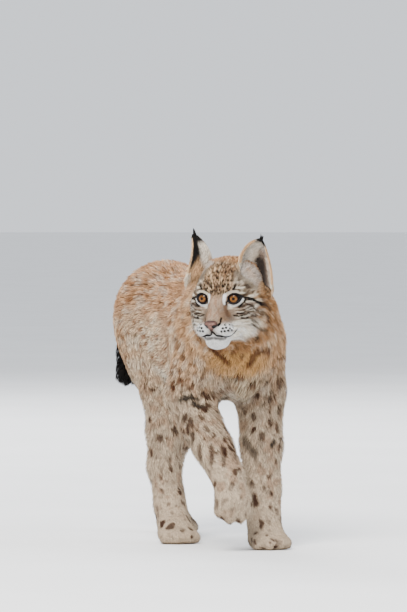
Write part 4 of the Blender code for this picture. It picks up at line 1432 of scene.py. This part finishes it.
def buildLids(darkSkin, tree):
    many = []
    facts = lidRim
    sides, steps = facts["sides"], facts["steps"]
    reach = lidMake["eyeRadius"] + facts["lift"]
    for side in (1, -1):
        place = lidFrame(side)
        points, radii = [], []
        for n in range(sides):
            angle = 2 * math.pi * n / sides
            y, z = lidOutline(angle)
            points.append(place @ Vector((math.sqrt(reach**2 - y * y - z * z), y, z)))
            inner = max(0.0, -side * math.cos(angle)) ** 4
            outer = max(0.0, side * math.cos(angle)) ** 3
            lower = max(0.0, -math.sin(angle))
            more = facts["bottom"] * lower + facts["inner"] * inner + facts["outer"] * outer
            radii.append(facts["top"] + more)
        many.append((points, radii, True, 4))
        for name, (x, y, z), thick in facts["corners"]:
            towards = side if name == "outer" else -side
            corner = points[0 if towards == 1 else sides // 2]
            line = laidOn(tree, corner, headFrame @ Vector((x, side * y, z)), steps)
            thinner = [thick * (1.0 - facts["taper"] * n / (steps - 1)) for n in range(steps)]
            many.append((line, thinner, False, 3))
    finishPiece(joinedTubes("lidRims", many), darkSkin)


lipMake = {
    "steps": 33,
    "eased": 6,
    "least": 0.0012,
    "more": 0.0013,
    "lift": 0.0012,
    # the groove from the nose down to the mouth, in the head's frame
    "groove": ((0.050, 0.0, -0.0425), (0.049, 0.0, -0.0510)),
    "grooveRadius": 0.0009,
}


def eased(rows):
    rows = rows.copy()
    rows[1:-1] = rows[1:-1] * 0.5 + (rows[:-2] + rows[2:]) * 0.25
    return rows


def buildLips(darkSkin, tree):
    many = []
    steps = lipMake["steps"]
    along = np.linspace(0.0, 1.0, steps)
    radii = lipMake["least"] + lipMake["more"] * np.sin(np.pi * along**1.6) ** 2 * (1.0 - 0.2 * along)
    for side in (1, -1):
        line = [Vector((x, side * y, z)) for x, y, z in mouthLine]
        points, outs = [], []
        for n in range(steps):
            share = n / (steps - 1) * (len(line) - 1)
            k = min(int(share), len(line) - 2)
            near, out, _, _ = tree.find_nearest(headFrame @ line[k].lerp(line[k + 1], share - k))
            points.append(near)
            outs.append(out)
        points, outs = np.array(points), np.array(outs)
        for _ in range(lipMake["eased"]):
            points, outs = eased(points), eased(outs)
        many.append(((points + outs * lipMake["lift"]).tolist(), radii.tolist(), False, 3))
    start, end = (headFrame @ Vector(at) for at in lipMake["groove"])
    many.append((laidOn(tree, start, end, 9), [lipMake["grooveRadius"]] * 9, False, 3))
    finishPiece(joinedTubes("lips", many), darkSkin)


# Ears, drawn as the part has them, in the head's frame; faces and slant are in degrees
earMake = {
    1: {"root": (-0.044, 0.0430, 0.0300), "tip": (-0.050, 0.0545, 0.0835), "width": 0.066,
        "faces": 28, "slant": 24},
    -1: {"root": (-0.046, -0.0460, 0.0310), "tip": (-0.050, -0.0600, 0.0920), "width": 0.060,
         "faces": -104, "slant": 0},
}
earLeaf = {
    "point": 1.7,  # how late along the ear it narrows
    "blunt": 0.70,
    "wide": (0.88, 0.42),
    "least": 0.0016,
    "cup": (106, 62),  # degrees that half the cup spans at the root, and how much less at the tip
    "cupMiddle": 0.45,
    "cupDeep": 0.72,
    "lean": 0.007,
    "tall": (1.10, -0.10),
    "grid": (30, 26),
    "wall": 0.0016,
    "shade": 0.7,
}


def earFrame(side):
    # x is where the cup opens, y runs across it, z from the root to the tip, one long
    facts = earMake[side]
    up = Vector(facts["tip"]) - Vector(facts["root"])
    turn = math.radians(facts["faces"])
    opening = Vector((math.cos(turn), math.sin(turn), 0.0))
    opening = (opening - up * opening.dot(up) / up.length_squared).normalized()
    slant = Matrix.Rotation(math.radians(facts["slant"]) * -side, 4, opening)
    across = slant @ up.cross(opening).normalized()
    return headFrame @ Matrix.Translation(facts["root"]) @ Matrix((opening, across, up)).transposed().to_4x4()


def earPoints(side, across, up):
    # across from -1 to 1, up from 0 to 1
    leaf = earLeaf
    wide, belly = leaf["wide"]
    outline = (1.0 - up ** leaf["point"]) ** leaf["blunt"] * (wide + belly * up * (1.0 - up))
    half = earMake[side]["width"] / 2 * outline + leaf["least"]
    atRoot, less = leaf["cup"]
    halfTurn = np.radians(atRoot - less * up)
    radius = half / np.sin(np.minimum(halfTurn, np.pi / 2))
    turn = across * halfTurn
    deep = radius * (leaf["cupMiddle"] - np.cos(turn)) * leaf["cupDeep"] - leaf["lean"] * np.sin(np.pi * up)
    tall, start = leaf["tall"]
    return placedBy(earFrame(side), columns(deep, radius * np.sin(turn), up * tall + start))


def earNormals(side, across, up, step=0.01):
    # the side of the cup that faces inward, and the way up along it
    wide = earPoints(side, np.minimum(across + step, 1), up)
    wide -= earPoints(side, np.maximum(across - step, -1), up)
    tall = earPoints(side, across, np.minimum(up + step, 0.999))
    tall -= earPoints(side, across, np.maximum(up - step, 0))
    inward = unit(np.cross(wide, tall))
    opening = np.array(earFrame(side).to_3x3().col[0])
    middle = np.argmin(np.abs(across) + np.abs(up - 0.4))
    return inward * np.sign((inward[middle] * opening).sum()), unit(tall)


def earTone(across, up, inside):
    if inside:
        paint = Paint("earGrey", len(up))
        paint.lay("tear", 0.6 * ramp(np.abs(across - 0.2), 0.8, 0.3) * ramp(up, 0.9, 0.7))
        paint.lay("black", 0.92 * ramp(np.abs(across - 0.22), 0.50, 0.15) * ramp(up, 0.78, 0.50))
    else:
        paint = Paint("black", len(up))
        patch = ramp(np.abs(across + 0.1), 0.62, 0.37) * ramp(up, 0.84, 0.70)
        paint.lay("earGrey", patch)
        paint.lay("cream", 0.4 * patch)
        paint.lay("tan", ramp(up + 0.10 * np.sin(across * 9), 0.46, 0.18))
    rim = ramp(np.abs(across), 0.84, 0.95) * ramp(up, 0.95, 0.86)
    paint.lay("cream", rim * 0.9)
    paint.lay("earOrange", rim * 0.7 * (up > 0.15))
    paint.lay("black", ramp(up, 0.90, 0.97))
    return paint.colour


def buildEars(skinMaterial, material):
    for side, name in ((1, "l"), (-1, "r")):
        made = bmesh.new()
        xSegments, ySegments = earLeaf["grid"]
        bmesh.ops.create_grid(made, x_segments=xSegments, y_segments=ySegments, size=1.0)
        flat = np.array([vert.co for vert in made.verts])
        across, up = flat[:, 0], (flat[:, 1] + 1) / 2
        placed = earPoints(side, across, np.clip(up, 0, 1))
        for vert, at in zip(made.verts, placed):
            vert.co = at
        bmesh.ops.recalc_face_normals(made, faces=made.faces)
        shell = meshObject("earShell_" + name, made)
        wall = shell.modifiers.new("wall", "SOLIDIFY")
        wall.thickness = earLeaf["wall"]
        wall.offset = 0.0
        applied(shell)
        nearest = KDTree(len(flat))
        for n, at in enumerate(placed):
            nearest.insert(at, n)
        nearest.balance()
        points = readPoints(shell.data)
        pick = np.array([nearest.find(at)[1] for at in points])
        normal, _ = earNormals(side, across, np.clip(up, 0, 0.999))
        isInside = ((points - placed[pick]) * normal[pick]).sum(1) > 0
        inner, outer = (earTone(across[pick], up[pick], inside) for inside in (True, False))
        paintPoints(shell.data, np.where(isInside[:, None], inner, outer) * earLeaf["shade"])
        shell.data.shade_smooth()
        finishPiece(shell, skinMaterial, ("ear_" + name,))
        growEarCoat(side, name, material)


earHair = [
    # kind, count, inside, across from the inner edge at 1 to the outer at -1, up, length, rise, width,
    # lean across, bent
    ("back", 5000, False, (-0.98, 0.98), (0.0, 0.97), (0.0035, 0.0055), 0.30, 0.0007, 0.0, False),
    ("lining", 2200, True, (-0.98, 0.98), (0.0, 0.95), (0.0030, 0.0050), 0.25, 0.0007, 0.0, False),
    ("long", 1700, True, (0.20, 0.97), (0.00, 0.82), (0.011, 0.023), 0.24, 0.0005, -0.85, True),
    ("long", 400, True, (-0.97, -0.70), (0.02, 0.60), (0.007, 0.012), 0.25, 0.0006, 0.35, True),
    ("rim", 650, True, (0.93, 0.99), (0.02, 0.95), (0.003, 0.006), 0.35, 0.0005, 0.3, True),
    ("rim", 650, True, (-0.99, -0.93), (0.02, 0.95), (0.003, 0.006), 0.35, 0.0005, -0.3, True),
    ("base", 110, False, (0.70, 1.0), (0.0, 0.20), (0.005, 0.016), 0.16, 0.0006, 0.2, True),
    ("base", 110, False, (-1.0, -0.70), (0.0, 0.20), (0.005, 0.016), 0.16, 0.0006, -0.2, True),
    ("base", 900, False, (-0.95, 0.95), (0.0, 0.16), (0.007, 0.015), 0.22, 0.0008, 0.0, True),
]
earGrowth = {
    "lift": 0.0009,
    "shorterUp": (1.15, 0.45),
    "read": 0.5 / 0.06,  # colours are read half a hair further up an ear of about 6 cm
    "swing": 0.2,
    "clump": 6,
    "pull": 0.35,
    # rootShade and tipShade darken the roots and lighten the tips: painted shade and light, partly the hair's
    # own banding
    "rootShade": 0.62,
    "tipShade": 1.15,
}
earPencil = {"count": 70, "across": 0.35, "up": (0.93, 0.985), "length": (0.007, 0.014), "width": 0.0007}


def growEarCoat(side, name, material):
    rng = np.random.default_rng(300 + side)
    opening, sideways, upwards = (np.array(earFrame(side).to_3x3().col[n].normalized()) for n in range(3))
    facts = earGrowth
    pieces = []
    for kind, count, inside, acrossRange, upRange, lengths, rise, width, lean, bent in earHair:
        count = count
        across = -rng.uniform(*acrossRange, count)
        up = rng.uniform(*upRange, count)
        atRoot, less = facts["shorterUp"]
        size = rng.uniform(*lengths, count) * (atRoot - less * up)
        inward, tall = earNormals(side, across, up)
        out = inward if inside else -inward
        lie = out * 0.35 - tall if kind == "base" else tall
        lie = lie - sideways * lean
        lie = unit(lie - out * (lie * out).sum(1, keepdims=True))
        paint = Paint(earTone(across, np.minimum(up + size * facts["read"], 0.999), inside))
        if kind == "long":
            paint.lay("cream", np.full(count, 0.40))
            paint.colour = paint.colour * rng.uniform(0.55, 1.1, (count, 1))
        if kind == "base":
            paint.lay("cream" if side == -1 else "streak", 0.8 * ramp(np.abs(across), 0.70, 0.86))
        pieces.append(growTufts("part", {
            "root": earPoints(side, across, up) + out * facts["lift"], "lie": lie, "out": out,
            "length": size, "rise": size * rise, "width": np.full(count, width), "tint": paint.colour,
            "place": columns(0.5 + 0.45 * across, 0.02 + 0.95 * up), "long": bent, **facts,
        }, rng))
    count = earPencil["count"]
    across = rng.uniform(-earPencil["across"], earPencil["across"], count)
    up = rng.uniform(*earPencil["up"], count)
    size = rng.uniform(*earPencil["length"], count)
    lie = upwards + opening * rng.uniform(-0.15, 0.05, (count, 1))
    lie = lie + sideways * rng.uniform(0.0, 0.25, (count, 1)) * side
    pieces.append(growTufts("part", {
        "root": earPoints(side, across, up), "lie": unit(lie), "out": np.tile(opening, (count, 1)),
        "length": size, "rise": -size * 0.05, "width": np.full(count, earPencil["width"]),
        "tint": np.tile(tone["black"], (count, 1)), "place": columns(0.5 + 0.4 * across, up),
        "long": True, "clump": 20, "pull": 0.75, "swing": 0.05, "rootShade": 1.0, "tipShade": 1.0,
    }, rng))
    first = pieces[0]
    chosen = {"selected_objects": pieces, "selected_editable_objects": pieces}
    with bpy.context.temp_override(active_object=first, **chosen):
        bpy.ops.object.join()
    first.name = "earCoat_" + name
    first.data.name = first.name
    finishPiece(first, material)


whiskerMake = {
    "perSide": 9,
    "radius": 0.00022,
    "length": (0.030, 0.048),
    "rightShare": 0.62,
    "droop": 0.25,
    "taper": 0.8,
    "back": 0.75,
    "out": (0.45, 0.8),
    "up": (-0.35, 0.10),
    "offSkin": 0.25,
    "steps": 9,
}


def buildWhiskers(material, tree):
    rng = np.random.default_rng(500)
    facts = whiskerMake
    steps = np.linspace(0.0, 1.0, facts["steps"])
    many = []
    for side in (1, -1):
        for x, y, z in whiskerDots[:facts["perSide"]]:
            start = headFrame @ (Vector((x, side * y, z)) / 1000.0)
            near, out, _, _ = tree.find_nearest(start)
            sideways = side * rng.uniform(*facts["out"])
            lie = headTurn.to_3x3() @ Vector((-facts["back"], sideways, rng.uniform(*facts["up"])))
            lie = (lie.normalized() + out * facts["offSkin"]).normalized()
            long = rng.uniform(*facts["length"]) * (facts["rightShare"] if side == -1 else 1.0)
            droop = Vector((0.0, 0.0, -facts["droop"]))
            points = [near + lie * long * t + droop * long * t * t for t in steps]
            many.append((points, [facts["radius"] * (1.0 - facts["taper"] * t) for t in steps], False, 1))
    finishPiece(joinedTubes("whiskers", many), material)


def buildFloor():
    made = bmesh.new()
    bmesh.ops.create_circle(made, cap_ends=True, segments=96, radius=60.0)
    floor = meshObject("floor", made)
    material, where, shader = newMaterial("paleFloor", Roughness=0.9, Specular_IOR_Level=0.1)
    pale = where.noise(3.0, 4.0).coloured([(0.3, (0.80, 0.80, 0.80)), (0.7, (0.84, 0.84, 0.84))])
    feed(pale, shader, "Base Color")
    floor.data.materials.append(material)


def unwrapped(skin):
    # lays the skin flat, and gives each triangle's corners there
    bpy.context.view_layer.objects.active = skin
    skin.select_set(True)
    bpy.ops.object.mode_set(mode="EDIT")
    bpy.ops.mesh.select_all(action="SELECT")
    bpy.ops.uv.smart_project(angle_limit=math.radians(66), island_margin=0.002)
    bpy.ops.object.mode_set(mode="OBJECT")
    layer = skin.data.uv_layers[0]
    layer.name = "OFBake"
    places = np.empty(len(skin.data.loops) * 2, np.float32)
    layer.data.foreach_get("uv", places)
    return places.reshape(-1, 3, 2)


setCamera()
setLights()
buildFloor()
skin, surface = buildSkin()
studySkin(surface)
lieOfCoat(surface)
carveFace(surface)
writePoints(skin.data, surface.points)
print("skin: studied and carved")
skinPlaces = unwrapped(skin)
print("skin: unwrapped")

paintPoints(skin.data, markings(surface.outer, surface.outerNormal, surface.share))
skin.data.shade_smooth()
# painted shade: the skin, and the ear shells that share this material, are darker at 0.55, as shade under the
# hair
skinMaterial = coatMaterial("shortCoat", 0.55, 0.7)
furMaterial = coatMaterial("fur")
darkSkin = plainMaterial("darkSkin", tone["lip"], 0.45, gloss=0.10)
whiskerMaterial = plainMaterial("whisker", linear(240, 238, 232), 0.4, vary=0.05)
finishPiece(skin, skinMaterial, skinMake["flesh"])
skinTree = BVHTree.FromPolygons([Vector(p) for p in surface.points], surface.triangles.tolist())

buildEyes()
buildLids(darkSkin, skinTree)
buildLips(darkSkin, skinTree)
buildNose()
buildEars(skinMaterial, furMaterial)
print("face: eyes, lids, lips, nose and ears")
growCoat(surface, skinPlaces, furMaterial)
buildWhiskers(whiskerMaterial, skinTree)
